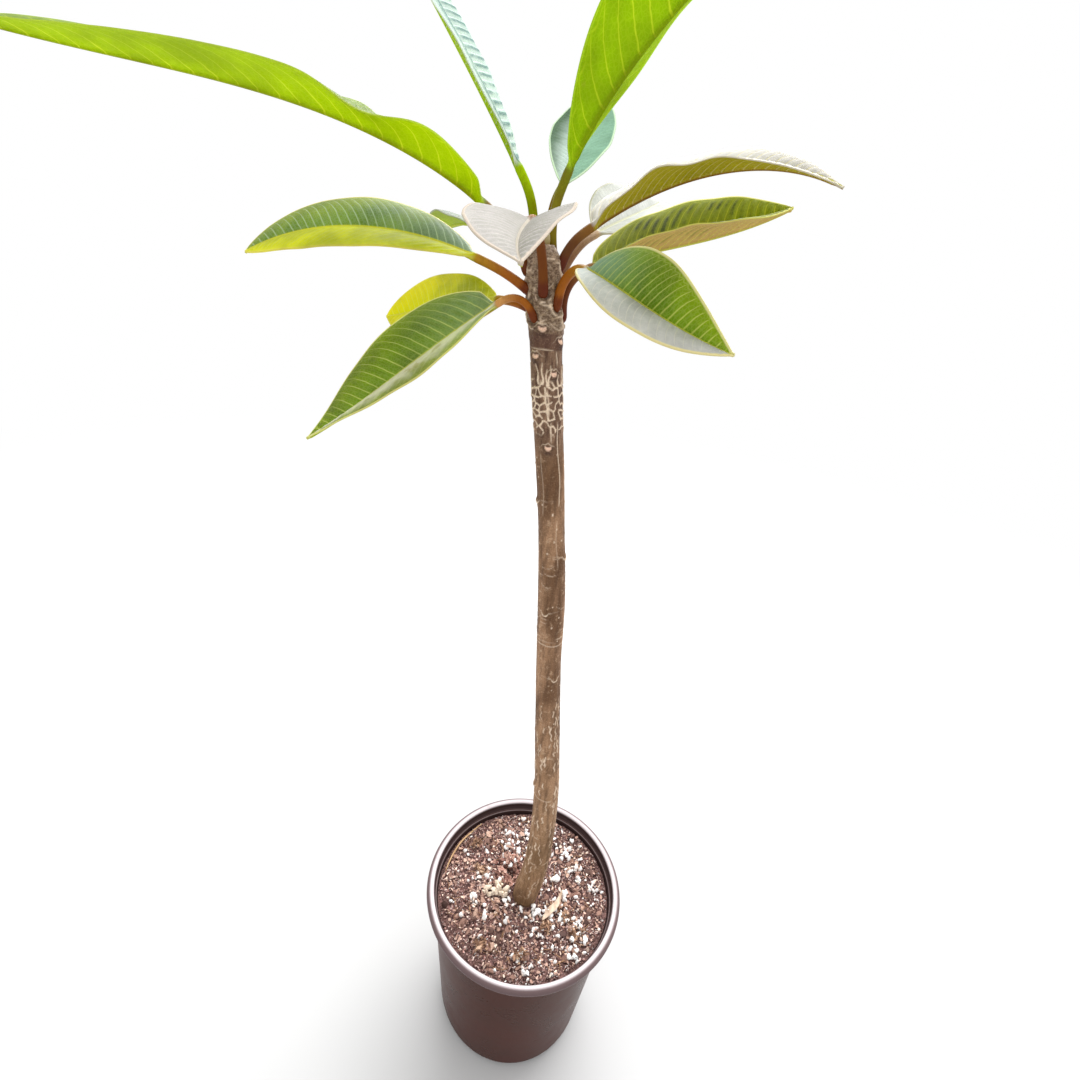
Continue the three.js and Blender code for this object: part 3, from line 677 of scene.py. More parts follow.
def upper_colour(g, row, dark):
    top = g.mix(g.on_left, row.upper_right, row.upper)
    # base: a tint near the stalk, which on some leaves is a painted sheen
    if row.base:
        reach = g.plus(g.part, g.centred(g.blotch, 0.3))
        tint = g.times(g.fall(reach, 0.05, 0.5, 0.85), g.halves(row.base_left, row.base_right))
        top = g.mix(tint, top, row.base)
    if row.outer:
        reach = g.plus(g.times(g.out, 0.7), g.times(g.part, 0.6))
        reach = g.plus(reach, g.centred(g.blotch, 0.6))
        tint = g.rise(reach, row.outer_start, row.outer_start + 0.6, 0.85)
        top = g.mix(g.times(tint, g.halves(row.outer_left, row.outer_right)), top, row.outer)
    top = g.mix(dark, top, row.patch_shade)
    # band: painted reflection, a pale streak beside the midrib on the left half, with tan mottling in it
    if row.band:
        mottle = g.noise(150, 4)
        streak = g.plus(g.out, g.centred(mottle, 0.5))
        streak = g.times(g.fall(streak, 0.5, 0.95, 0.92), g.on_left)
        top = g.mix(streak, top, g.mix(g.rise(mottle, 0.56, 0.66, 0.5), row.band, (176, 140, 96)))
    return top


def stalk_colour(g, row):
    stalk = g.mix(g.rise(g.toward_foot, 0.0, 0.6), row.head, row.foot)
    stalk = g.mix(g.fall(g.plus(g.along, row.stalk), 1.0, 5.0, 0.8), stalk, (84, 26, 10))
    streak = g.noise(300, 4, 0.7, g.stretched(1, 1, 0.4))
    return g.mix(g.rise(streak, 0.4, 0.7, 0.3), stalk, (96, 44, 8))


def blade_colour(g, row, lines):
    dark = dark_share(g, row)
    top = upper_colour(g, row, dark)
    top = g.mix(g.times(lines, 0.62), top, g.mix(g.on_left, row.lines_right, row.lines))
    under = g.mix(g.times(dark, 0.5), g.mix(g.on_left, row.lower_right, row.lower), (70, 80, 4))
    under = g.mix(g.times(lines, 0.5), under, row.lines)
    colour = g.mix(g.upper, under, top)
    colour = g.mix(g.rise(g.grain, 0.3, 0.75, 0.12), colour, (40, 54, 4))
    colour = g.mix(g.times(g.fall(g.margin, 0.4, 1.1), g.in_blade), colour, row.edge)
    rib = g.mix(g.upper, g.mix(g.rise(g.part, 0.0, 0.5), row.head, row.rib), row.rib_upper)
    colour = g.mix(g.times(g.fall(g.ratio, 0.7, 1.1), g.in_blade), colour, rib)
    spots = g.times(g.fall(g.cells(90, "F1"), 0.05, 0.13, 0.5), g.rise(g.noise(24), 0.6, 0.68))
    return g.mix(spots, colour, (150, 110, 60))


def leaf_material(row):
    g = LeafGraph(row)
    lines = vein_lines(g)
    colour = g.mix(g.in_blade, stalk_colour(g, row), blade_colour(g, row, lines))
    ridge = g.times(lines, g.between(g.upper, 0.2, 0.8, 0.9, -0.7))
    normal = g.bump(g.plus(ridge, g.times(g.grain, 0.18)), 0.0003, 0.55)
    roughness = g.plus(g.between(g.upper, 0.2, 0.8, 0.5, row.gloss), g.times(g.grain, 0.1))
    glow = g.mix(lines, (*row.glow, 1.0), (0.8, 0.85, 0.2, 1.0))
    glow = g.mix(g.fall(g.blotch, 0.34, 0.6, 1.4 * row.blotches), glow, (0.3, 0.38, 0.0, 1.0))
    glow = g.mix(g.in_blade, (0.0, 0.0, 0.0, 1.0), glow)
    share = g.times(g.in_blade, g.halves(row.through, row.through_right))
    return g.skin(colour, roughness, normal, (share, glow), specular_ior_level=row.mirror)


# ---- stem
STEM_COLUMNS = 144
NET_BOTTOM, NET_TOP = 512.0, 538.5  # heights between which the bark has a pale raised net
NET_WIDTH, NET_HEIGHT = 3.3, 3.8  # of its cells
TEETH_TOP = 548.0  # ragged uprights rise from the net to about this height
BARK_TOP = 557.0  # above it the bark is young, grey and wrinkled
OPEN_FROM = 500.0  # scars above this height are still open, and lower ones have closed to a thin line
TRACKS = ((-38, 15, 40), (-108, 24, 44), (60, 40, 26), (160, 40, 26))  # side, spread and number of dashes
PORES, BOWS, TEETH = 120, 76, 30
UNEVENNESS = ((0.4, 1.3, 1, 42), (0.16, 7, 7, 30), (0.06, 18, 18, 9))  # size, two finenesses, length
GROWTH_RINGS = (189.0, 218.0, 258.0, 389.5, 392.0, 394.5, 552.6)
SEAMS = (
    (-50, 476, 521), (-124, 470, 505), (-66, 440, 470), (40, 450, 512), (140, 380, 470),
    (-93, 520, 537), (-88, 521, 536), (-76, 509, 521), (-47, 545, 553),
)  # the side that a long upright crack faces, and the heights of its ends
STEM_ROWS = (
    (STEM_LINE[0][1], 128, 8.0), (128, 330, 0.9), (330, NET_BOTTOM - 13, 0.7),
    (NET_BOTTOM - 13, 566, 0.45), (566, STEM_TOP - 0.2, 0.6),
)  # from one height to another, and the step between two rings of points


def wrapped(angle):
    return (angle + np.pi) % (2 * np.pi) - np.pi


def line(distance, half_width, soft=0.3):
    """1 on a line and 0 away from it."""
    return 1 - smooth((np.abs(distance) - half_width) / soft)


def netted(arc, height):
    """The pale raised net on the bark below the leaves: borders of uneven cells, some of them missing."""
    u = (arc + 0.8 * bumps(arc / 3 + 9, height / 3.2)) / NET_WIDTH
    v = (height + 0.9 * bumps(arc / 4.5, height / 6)) / NET_HEIGHT
    nearest = np.full_like(u, 9.0)
    second = nearest.copy()
    own, other = np.zeros_like(u), np.zeros_like(u)
    for step in (-1, 0, 1):
        for rise in (-1, 0, 1):
            i, j = np.floor(u) + step, np.floor(v) + rise
            seed_u, seed_v = i + 0.1 + 0.8 * scatter(i, j), j + 0.1 + 0.8 * scatter(j + 50, i)
            gap = np.hypot(seed_u - u, seed_v - v)
            name = scatter(i + 7, j + 3)
            closer = gap < nearest
            other = np.where(closer, own, np.where(gap < second, name, other))
            second = np.where(closer, nearest, np.minimum(second, gap))
            own = np.where(closer, name, own)
            nearest = np.where(closer, gap, nearest)
    kept = (own + other) * 9.7 % 1 > lerp(0.5, 0.14, smooth((height - NET_BOTTOM) / 18))
    fade = smooth((height - NET_BOTTOM) / 4) * smooth((NET_TOP + 1.5 - height) / 2.5)
    return line((second - nearest) * 0.5 * (NET_WIDTH + NET_HEIGHT) / 2, 0.2, 0.34) * kept * fade


def scar_outline(away, rise):
    """A thin curved line like a smile, with a wing to each side."""
    smile = rise + 1.5 - 0.42 * away**2
    cup = line(smile, 0.24, 0.45) * line(away, 1.7, 0.5)
    wing = rise - 0.6 - 0.14 * np.abs(np.abs(away) - 2) * (np.abs(away) > 2)
    return np.maximum(cup, 0.55 * line(wing, 0.1, 0.35) * hump(away, 6.5) * (np.abs(away) > 1.9))


class Bark:
    """The bark as it grows: its relief, and its pale lines, open scars and darker places from 0 to 1:
    painted shade in the creases at the leaf feet, and darker rims round and below the open scars.
    """

    def __init__(self, heights):
        angles = 2 * np.pi * np.arange(STEM_COLUMNS) / STEM_COLUMNS - np.pi
        self.height, self.angle = np.meshgrid(heights, angles, indexing="ij")
        self.base = stem_radius(self.height)
        self.arc = wrapped(self.angle + np.pi / 2) * self.base  # round the stem from its front
        self.across, self.through = np.cos(self.angle), np.sin(self.angle)
        self.relief = np.zeros_like(self.height)
        for size, across, through, length in UNEVENNESS:
            along = self.height / length + self.through * through
            self.relief += size * bumps(self.across * across, along)
        self.pale, self.scar, self.dark = np.zeros((3, *self.height.shape))

    def away(self, side):
        """Millimetres round the stem from the line that faces this side, in degrees."""
        return wrapped(self.angle - math.radians(side)) * self.base

    def whiten(self, share):
        self.pale = np.maximum(self.pale, share)

    def darken(self, share):
        self.dark = np.maximum(self.dark, share)


def add_small_marks(bark):
    """Short pale cracks, round pores, fine bows and the net's ragged teeth, the same ones each time."""
    rng = np.random.default_rng(19)

    def add(side, middle, reach, mark_at):
        near = np.abs(bark.height[:, 0] - middle) < reach
        away = wrapped(bark.angle[near] - side) * bark.base[near]
        mark = mark_at(away, bark.height[near] - middle)
        bark.pale[near] = np.maximum(bark.pale[near], mark)

    for facing, spread, count in TRACKS:
        for _ in range(count):
            side = math.radians(rng.normal(facing, spread))
            middle, length = rng.uniform(146, 345), 0.8 + 6.0 * rng.beta(1, 2.2)
            half, slant, strength = rng.uniform(0.1, 0.32), rng.normal(0, 0.1), rng.uniform(0.5, 1)

            def dash(away, rise):
                bent = away - slant * rise + 0.45 * np.sin(rise * 1.1 + middle)
                return line(bent, half) * line(rise, length, 1.2) * strength

            add(side, middle, length + 1.5, dash)
    for _ in range(PORES):
        side, middle, size = rng.uniform(-np.pi, np.pi), rng.uniform(160, 505), rng.uniform(0.1, 0.4)
        add(side, middle, 2, lambda away, rise: line(np.hypot(away, rise), size, 0.4))
    for _ in range(BOWS):
        side, lean, reach = rng.uniform(-np.pi, np.pi), rng.normal(0, 0.35), rng.uniform(1.0, 3.6)
        young = rng.uniform() < 0.45
        middle = rng.uniform(BARK_TOP, 590) if young else rng.uniform(392, 452)
        strength = rng.uniform(0.25, 0.5) + 0.3 * young

        def bow(away, rise):
            return strength * line(rise - lean * away - 0.1 * away**2, 0.06, 0.4) * line(away, reach, 1.0)

        add(side, middle, 5, bow)
    for _ in range(TEETH):
        side, length = rng.uniform(-np.pi, np.pi), rng.uniform(3, TEETH_TOP - NET_TOP)
        lean = rng.normal(0, 0.1)

        def tooth(away, rise):
            bent = away - lean * rise + 0.3 * np.sin(rise * 0.9 + 9 * side)
            half = 0.3 * smooth((length - rise) / length)
            return line(bent, half, 0.35) * (rise > -0.5) * (rise < length)

        add(side, NET_TOP - 1, 11, tooth)


def add_scars(bark):
    """Marks of fallen leaves: thin closed lines low down, and open shields higher up."""
    for at, side in SCARS:
        away = bark.away(side)
        rise = bark.height - at
        bark.relief += 0.9 * hump(away, 3.2) * hump(rise + 0.9, 2.2)
        if at < OPEN_FROM:
            bark.whiten(scar_outline(away, rise))
            continue
        shield = np.maximum(np.abs(away) / 1.8, np.abs(rise - 0.14 * away**2) / 0.9)
        shield = np.maximum(shield, (np.abs(away) * 0.9 - rise) / 1.6)
        bark.scar = np.maximum(bark.scar, 1 - smooth((shield - 0.75) / 0.4))
        bark.relief -= 0.4 * (1 - smooth((shield - 0.5) / 0.5))
        bark.darken(0.7 * hump(np.maximum(shield - 1.1, 0), 0.7))
        bark.darken(hump(away, 2.4) * hump(rise + 2.2, 1.3))
        curl = rise - 2.4 + 0.12 * away**2 + 0.3 * np.sin(away * 2 + at)
        bark.whiten(0.8 * line(curl, 0.1) * hump(away, 3.4))


def add_leaf_feet(bark):
    """A swelling, painted shade in the crease and a torn pale rim where each leaf stands on the stem."""
    for row in LEAVES:
        away = bark.away(row.side)
        rise = bark.height - row.at
        reach = np.hypot(away, rise + 1.2) + 0.4 * bumps(away / 1.5 + row.at, rise / 1.5)
        under = smooth((1.5 - rise) / 3)
        torn = smooth((bumps(away / 1.7 + row.at, rise / 2.3) + 0.45) / 0.6)
        bark.relief += 0.75 * hump(reach - 3.5, 0.8) * under
        bark.relief += 0.7 * hump(away, 4.0) * hump(rise + 6, 4.0)
        # painted shade round the stalk's foot, where it meets the stem
        bark.darken(0.7 * hump(np.maximum(reach - 2.3, 0), 0.7))
        bark.whiten(0.85 * line(reach - 4.0, 0.14, 0.4) * under * torn)


def add_long_lines(bark):
    """Rings of growth, long upright seams and the pale net."""
    arc, height = bark.arc, bark.height
    for ring in GROWTH_RINGS:
        bow = height - ring - 0.8 * bumps(arc / 9, np.full_like(arc, ring))
        whole = smooth((bumps(arc / 8, np.full_like(arc, ring + 0.5)) + 0.5) / 0.6)
        bark.whiten(0.6 * line(bow, 0.12, 0.35) * whole)
    for side, start, end in SEAMS:
        away = bark.away(side) - 0.5 * np.sin(height / 5.5 + side)
        run = smooth((height - start) / 3) * smooth((end - height) / 3)
        strength = 0.75 if end > NET_BOTTOM else 0.3
        bark.whiten(strength * line(away, 0.14, 0.35) * run)
    bark.whiten(netted(arc, height))


def wrinkle(bark):
    """Fine folds round the stem, strongest in the young bark."""
    arc, height = bark.arc, bark.height
    young = smooth((height - BARK_TOP + 5) / 8)
    folds = bumps(height / 2.1 + 0.8 * bumps(arc / 5, height / 9), arc / 9)
    bark.relief += 0.2 * folds * young + 0.07 * folds * smooth((height - 180) / 60) * (1 - young)
    bark.relief += 0.14 * bumps(arc / 1.7, height / 1.5) * young


def make_stem():
    heights = np.concatenate([*(np.arange(*row) for row in STEM_ROWS), [STEM_TOP]])
    bark = Bark(heights)
    add_small_marks(bark)
    add_scars(bark)
    add_leaf_feet(bark)
    add_long_lines(bark)
    bark.relief += 0.32 * bark.pale - 0.3 * bark.dark
    wrinkle(bark)
    out_of_the_mix = smooth((bark.height - 100) / 30)
    radius = bark.base + bark.relief * out_of_the_mix - 0.25
    round_it = np.stack([radius * bark.across, radius * bark.through, 0 * radius], axis=-1)
    points, faces = capped_tube(stem_centre(heights)[:, None] + round_it)
    marks = np.stack([bark.pale, bark.scar, bark.dark], axis=-1).reshape(-1, 3)
    marks = np.vstack([marks, np.zeros((2, 3))])
    make_piece("stem_bark", points, faces, bark_material(), ["stem"], {"bark_marks": marks})


def bark_material():
    g = Graph("bark_skin")
    pale, scar, dark = g.marks("bark_marks")
    height = g.height()
    streaks = g.noise(260, 6, 0.65, g.stretched(1.6, 1.6, 0.22))
    broad = g.noise(60, 3, 0.5, g.stretched(1, 1, 0.35))
    mottle = g.noise(240, 5, 0.65)
    fine = g.noise(1300, 4, 0.6)
    old = g.mix(g.rise(broad, 0.38, 0.62), (108, 76, 50), (168, 130, 98))
    old = g.mix(g.fall(height, 170, 360, 0.4), old, (156, 126, 92))
    old = g.mix(g.rise(streaks, 0.42, 0.66, 0.62), old, (82, 56, 34))
    old = g.mix(g.rise(mottle, 0.55, 0.72, 0.5), old, (214, 182, 150))
    plates = g.mix(g.rise(streaks, 0.35, 0.7), (84, 58, 44), (152, 120, 96))
    colour = g.mix(g.rise(height, NET_BOTTOM - 14, NET_BOTTOM + 4), old, plates)
    wrinkles = g.noise(520, 5, 0.7, g.stretched(1.0, 1.0, 1.8))
    grey = g.mix(g.rise(wrinkles, 0.36, 0.64), (84, 62, 46), (160, 136, 112))
    grey = g.mix(g.rise(mottle, 0.5, 0.7, 0.4), grey, (176, 158, 138))
    colour = g.mix(g.rise(height, BARK_TOP - 1, BARK_TOP + 6), colour, grey)
    band = g.rise(height, BARK_TOP - 5.5, BARK_TOP - 4)
    band = g.times(band, g.fall(height, BARK_TOP + 1.5, BARK_TOP + 3.5, 0.75))
    colour = g.mix(band, colour, (90, 60, 48))
    flecks = g.fall(g.cells(210, "F1"), 0.1, 0.2, 0.6)
    flecks = g.times(flecks, g.rise(g.noise(60), 0.52, 0.6))
    colour = g.mix(flecks, colour, (206, 178, 148))
    # the dark mark: painted shade at the leaf feet, and darker rims round and below the open scars
    colour = g.mix(g.times(dark, 0.85), colour, (58, 34, 24))
    colour = g.mix(g.times(pale, 0.92), colour, (240, 216, 190))
    colour = g.mix(g.times(scar, 0.95), colour, (246, 206, 182))
    colour = g.mix(g.rise(fine, 0.35, 0.7, 0.34), colour, (62, 42, 28))
    colour = g.mix(g.fall(fine, 0.3, 0.42, 0.2), colour, (204, 172, 140))
    relief = g.plus(g.times(streaks, 0.6), g.times(fine, 0.4))
    normal = g.bump(relief, 0.0007, 0.7)
    return g.skin(colour, g.between(fine, 0.3, 0.7, 0.55, 0.75), normal, specular_ior_level=0.25)


def make_bud():
    """The growing tip: two small folded leaves, pressed together."""
    centre = stem_centre(np.array([STEM_TOP]))[0]
    rows, sides = 24, 20
    part = np.linspace(0, 1, rows)[:, None]
    turn = 2 * np.pi * np.arange(sides)[None] / sides
    width = BUD_RADIUS * np.sin(np.pi * (0.3 + 0.7 * part)) ** 0.8 + 0.05
    lobes = 1 + 0.22 * np.cos(2 * turn + 2.2 * part)
    lean = 0.7 * part**2
    x = centre[0] + lean + width * lobes * np.cos(turn)
    y = centre[1] + 0.62 * width * lobes * np.sin(turn)
    z = centre[2] - 1.5 + part * BUD_HEIGHT + 0 * turn
    points, faces = capped_tube(np.stack([x, y, z], axis=-1))
    g = Graph("bud_skin")
    height = g.height()
    colour = g.mix(g.rise(height, STEM_TOP, STEM_TOP + BUD_HEIGHT), (150, 130, 80), (214, 214, 170))
    colour = g.mix(g.rise(g.noise(500), 0.4, 0.7, 0.4), colour, (120, 96, 50))
    material = g.skin(colour, 0.5, g.bump(g.noise(900), 0.0003, 0.4))
    make_piece("growing_tip", points, faces, material)


# ---- pot
POT_TAPER = (BODY_TOP_RADIUS - BODY_BASE_RADIUS) / (POT_HEIGHT - 2 * RIM_ROLL - CORNER_RADIUS)


def inner_radius(height):
    return BODY_BASE_RADIUS + POT_TAPER * (height - CORNER_RADIUS) - WALL


def arc_points(centre_radius, centre_height, radius, start, end, steps):
    angle = np.radians(np.linspace(start, end, steps + 1))
    round_it = np.stack([np.cos(angle), np.sin(angle)], axis=-1)
    return np.array([centre_radius, centre_height]) + radius * round_it


def pot_profile():
    ledge = POT_HEIGHT - LEDGE_DEPTH
    corner = arc_points(BODY_BASE_RADIUS - CORNER_RADIUS, CORNER_RADIUS, CORNER_RADIUS, -90, 0, 12)
    wall_top = np.array([[BODY_TOP_RADIUS, POT_HEIGHT - 2 * RIM_ROLL - 0.6]])
    wall = lerp(corner[-1], wall_top, np.linspace(0, 1, 24)[1:, None])
    under_rim = arc_points(BODY_TOP_RADIUS + 0.9, POT_HEIGHT - 2 * RIM_ROLL - 0.4, 0.9, 180, 90, 4)
    roll = arc_points(RIM_RADIUS - BEAD, POT_HEIGHT - BEAD, BEAD, -75, 180, 28)
    roll_foot = inner_radius(ledge) + LEDGE_WIDTH
    inside = np.array([
        [roll_foot + 0.15, ledge + 1.3],
        [roll_foot - 0.1, ledge + 0.75],
        [inner_radius(ledge), ledge + 0.2],
        [inner_radius(ledge) - 0.1, ledge - 0.5],
        [inner_radius(CORNER_RADIUS), CORNER_RADIUS],
        [inner_radius(CORNER_RADIUS) - CORNER_RADIUS + WALL, WALL],
    ])
    return np.vstack([corner, wall, under_rim, roll, inside])


def make_pot():
    out, height = pot_profile().T[:, :, None]
    turn = 2 * np.pi * np.arange(POT_SIDES) / POT_SIDES
    rings = np.stack([out * np.cos(turn), out * np.sin(turn), height + 0 * turn], axis=-1)
    points, faces = capped_tube(rings)
    pot = make_piece("pot_shell", points, faces, pot_material(), ["pot"])
    for i in range(DRAIN_HOLES):
        angle = 2 * math.pi * (i + 0.5) / DRAIN_HOLES
        place = (DRAIN_CIRCLE * math.cos(angle) * MM, DRAIN_CIRCLE * math.sin(angle) * MM, 0)
        cut_round_hole(pot, place, DRAIN_RADIUS * MM, 8 * WALL * MM)


def cut_round_hole(piece, place, radius, depth):
    cutter_mesh = bpy.data.meshes.new("drill")
    drill = bmesh.new()
    bmesh.ops.create_cone(
        drill, cap_ends=True, segments=40, radius1=radius, radius2=radius, depth=depth,
        matrix=Matrix.Translation(place),
    )
    drill.to_mesh(cutter_mesh)
    drill.free()
    cutter = bpy.data.objects.new("drill", cutter_mesh)
    bpy.context.scene.collection.objects.link(cutter)
    cut = piece.modifiers.new("hole", "BOOLEAN")
    cut.operation = "DIFFERENCE"
    cut.object = cutter
    cut.solver = "EXACT"
    bpy.context.view_layer.update()
    shape = bpy.data.meshes.new_from_object(piece.evaluated_get(bpy.context.evaluated_depsgraph_get()))
    piece.modifiers.clear()
    piece.data = shape
    bpy.data.objects.remove(cutter)


def pot_material():
    g = Graph("pot_plastic_skin")
    height = g.height()
    out = g.node("ShaderNodeVectorMath", {0: g.stretched(1, 1, 0)}, operation="LENGTH").outputs["Value"]
    out = g.times(out, 1 / MM)
    haze = g.noise(26, 4, 0.6)
    grain = g.noise(1500, 2, 0.5)
    scuffs = g.rise(g.noise(140, 6, 0.7, g.stretched(0.5, 0.5, 3.0)), 0.56, 0.72, 0.3)
    colour = g.mix(g.rise(haze, 0.35, 0.65), (64, 37, 30), (72, 42, 36))
    colour = g.mix(g.times(scuffs, 0.4), colour, (100, 72, 63))
    # The rolled rim: painted highlight, pale grey over the roll, paler on its lower part, brightest on its
    # top, broken by scuffs
    on_roll = g.rise(height, POT_HEIGHT - 7.6, POT_HEIGHT - 6.6, 0.95)
    crest = g.fall(out, RIM_RADIUS - 3.8, RIM_RADIUS - 1.5)
    crest = g.times(crest, g.rise(height, POT_HEIGHT - 2.4, POT_HEIGHT - 1.2))
    painted_rim_highlight = g.mix(crest, (102, 86, 87), (208, 199, 202))
    painted_rim_highlight = g.mix(g.fall(height, POT_HEIGHT - 4.4, POT_HEIGHT - 3.4, 0.8), painted_rim_highlight, (178, 162, 165))
    painted_rim_highlight = g.mix(g.times(scuffs, 1.2), painted_rim_highlight, (104, 88, 86))
    colour = g.mix(on_roll, colour, painted_rim_highlight)
    # Painted shade: the inside wall and the inner side of the rolled rim are painted darker than the outside
    lean = g.times(g.math("SUBTRACT", height, CORNER_RADIUS), POT_TAPER)
    inside = g.fall(g.math("SUBTRACT", out, lean), BODY_BASE_RADIUS - 1.2, BODY_BASE_RADIUS - 0.5)
    inside = g.larger(inside, g.times(g.fall(out, RIM_RADIUS - 6.0, RIM_RADIUS - 4.8), on_roll))
    colour = g.mix(inside, colour, (50, 36, 35))
    # Painted highlight: a pale line along the ledge on the inside wall
    ledge = g.fall(g.apart(height, POT_HEIGHT - LEDGE_DEPTH + 0.8), 0.1, 0.5, 0.75)
    colour = g.mix(g.times(inside, ledge), colour, (150, 136, 136))
    roughness = g.plus(g.between(haze, 0.3, 0.7, 0.26, 0.34), g.times(scuffs, 0.4))
    normal = g.bump(g.plus(grain, g.times(haze, 0.8)), 0.00006, 0.4)
    return g.skin(colour, roughness, normal, specular_ior_level=0.04, specular_tint=(1.0, 0.7, 0.6, 1.0))


# ---- potting mix
def soil_height(x, y):
    out = np.hypot(x, y) / inner_radius(SOIL_LEVEL)
    dish = SOIL_DISH * (out * out - 0.5)
    lumps = (1 - MOUND_SHARE) * bumps(x, y, LUMP_SIZE) + MOUND_SHARE * bumps(y, x, MOUND_SIZE)
    height = SOIL_LEVEL + dish + LUMP_HEIGHT * lumps * (1 - 0.5 * out**4)
    hollow = np.hypot(x - HOLLOW[0], y - HOLLOW[1])
    height += 1.6 * hump(hollow - 9, 4.5) - 5.0 * hump(hollow, 5.0)
    return height


def make_soil_bed():
    high = inner_radius(SOIL_LEVEL) - SOIL_GAP
    low = inner_radius(CORNER_RADIUS) - SOIL_GAP
    radii = np.linspace(high, 0.6, 80)
    turn = 2 * np.pi * np.arange(200) / 200
    x, y = radii[:, None] * np.cos(turn), radii[:, None] * np.sin(turn)
    z = soil_height(x, y) - 0.9 + 0.7 * bumps(x, y, 2.3) + 0.4 * bumps(y, x, 1.1)
    top = np.stack([x, y, z], axis=-1)
    side = [(low - CORNER_RADIUS + WALL, WALL + SOIL_GAP), (low, CORNER_RADIUS + SOIL_GAP)]
    under = [np.stack([r * np.cos(turn), r * np.sin(turn), np.full_like(turn, h)], axis=-1) for r, h in side]
    points, faces = capped_tube(np.concatenate([np.stack(under), top]))
    g = Graph("mix_skin")
    colour = g.mix(g.rise(g.noise(420, 5, 0.7), 0.35, 0.65), (58, 38, 36), (140, 104, 98))
    colour = g.mix(g.fall(g.cells(700, "F1"), 0.1, 0.3, 0.6), colour, (190, 150, 140))
    material = g.skin(colour, 0.95, g.bump(g.noise(700, 5, 0.7), 0.0012, 0.8))
    make_piece("soil_bed", points, faces, material, ["soil"])


def lump_shape(rng, subdivisions, roughness):
    """Points and triangles of one uneven pebble of radius about 1."""
    ball = bmesh.new()
    bmesh.ops.create_icosphere(ball, subdivisions=subdivisions, radius=1)
    points = np.array([vertex.co[:] for vertex in ball.verts])
    faces = np.array([[vertex.index for vertex in face.verts] for face in ball.faces])
    ball.free()
    for _ in range(3):
        way = unit(rng.normal(size=3))
        points += roughness * np.outer(np.tanh(2.5 * (points @ way - 0.3)), way) * -0.5
    points *= 1 + roughness * rng.normal(size=(len(points), 1)) * 0.35
    return points, faces


def random_turns(rng, count):
    return np.array([Quaternion(turn).to_matrix() for turn in unit(rng.normal(size=(count, 4)))])


def clear_of_stem(x, y, gap):
    return np.hypot(x - STEM_LINE[0][0], y - STEM_Y) > gap


def free_places(rng, count, share, margin):
    """Random places on the mix, kept clear of the wall and the stem, thinned by a share from 0 to 1."""
    reach = inner_radius(SOIL_LEVEL) - SOIL_GAP - margin
    spots = []
    while len(spots) < count:
        x, y = rng.uniform(-reach, reach, 2)
        clear = math.hypot(x, y) < reach and clear_of_stem(x, y, 10.3 + 0.3 * margin)
        if clear and rng.uniform() < share(x, y):
            spots.append((x, y))
    return np.array(spots)


def scatter_grains(name, material, places, sizes, flatness, lift, seed, roughness=0.8, detail=1):
    """Many small lumps on the mix, joined into one piece. sizes are radii; lift is in radii."""
    rng = np.random.default_rng(seed)
    count = len(places)
    shapes = [lump_shape(rng, detail, roughness) for _ in range(GRAIN_SHAPES)]
    kinds = rng.integers(0, GRAIN_SHAPES, count)
    stretch = rng.uniform(0.7, 1.25, (count, 3)) * np.array([1, 1, flatness])
    tilt = random_turns(rng, count)
    if flatness < FLAT_CHIP:
        tilt = lay_down(rng, count)
    spread = rng.uniform(-0.35, 0.5, count)
    height = soil_height(places[:, 0], places[:, 1]) + (lift + spread) * sizes
    centres = np.column_stack([places, height])
    shades = rng.uniform(0, 1, (count, 3))
    points, faces, marks, start = [], [], [], 0
    for kind, (shape, triangles) in enumerate(shapes):
        chosen = np.flatnonzero(kinds == kind)
        local = shape[None] * (sizes[chosen, None] * stretch[chosen])[:, None]
        world = np.einsum("nij,nvj->nvi", tilt[chosen], local) + centres[chosen, None]
        points.append(world.reshape(-1, 3))
        offsets = start + len(shape) * np.arange(len(chosen))
        faces.append((triangles[None] + offsets[:, None, None]).reshape(-1, 3))
        marks.append(np.repeat(shades[chosen], len(shape), axis=0))
        start += len(shape) * len(chosen)
    faces, marks = np.vstack(faces).tolist(), {"grain": np.vstack(marks)}
    make_piece(name, np.vstack(points), faces, material, marks=marks, flat=detail < 2)


def lay_down(rng, count):
    """Turns that keep flat chips nearly level."""
    spin = rng.uniform(0, 2 * np.pi, count)
    lean = rng.normal(0, 0.38, (count, 2))
    turns = []
    for angle, (a, b) in zip(spin, lean):
        turn = Matrix.Rotation(a, 3, "X") @ Matrix.Rotation(b, 3, "Y") @ Matrix.Rotation(angle, 3, "Z")
        turns.append(np.array(turn))
    return np.array(turns)


def crumb_material(name, dark, middle, light, roughness=0.95):
    g = Graph(name)
    shade, _, _ = g.marks("grain")
    colour = g.mix(g.rise(shade, 0.0, 0.6), dark, middle)
    colour = g.mix(g.rise(shade, 0.6, 1.0), colour, light)
    colour = g.mix(g.rise(g.noise(900, 4, 0.7), 0.35, 0.7, 0.45), colour, dark)
    return g.skin(colour, roughness, g.bump(g.noise(1600, 3), 0.0004, 0.7))


def perlite_material(name, pale, shaded):
    g = Graph(name)
    pores = g.cells(1500, "F1")
    colour = g.mix(g.rise(pores, 0.1, 0.4), shaded, pale)
    shade, _, _ = g.marks("grain")
    colour = g.mix(g.rise(shade, 0.7, 1.0, 0.25), colour, (170, 140, 120))
    return g.skin(colour, 0.85, g.bump(pores, 0.0005, 0.6))


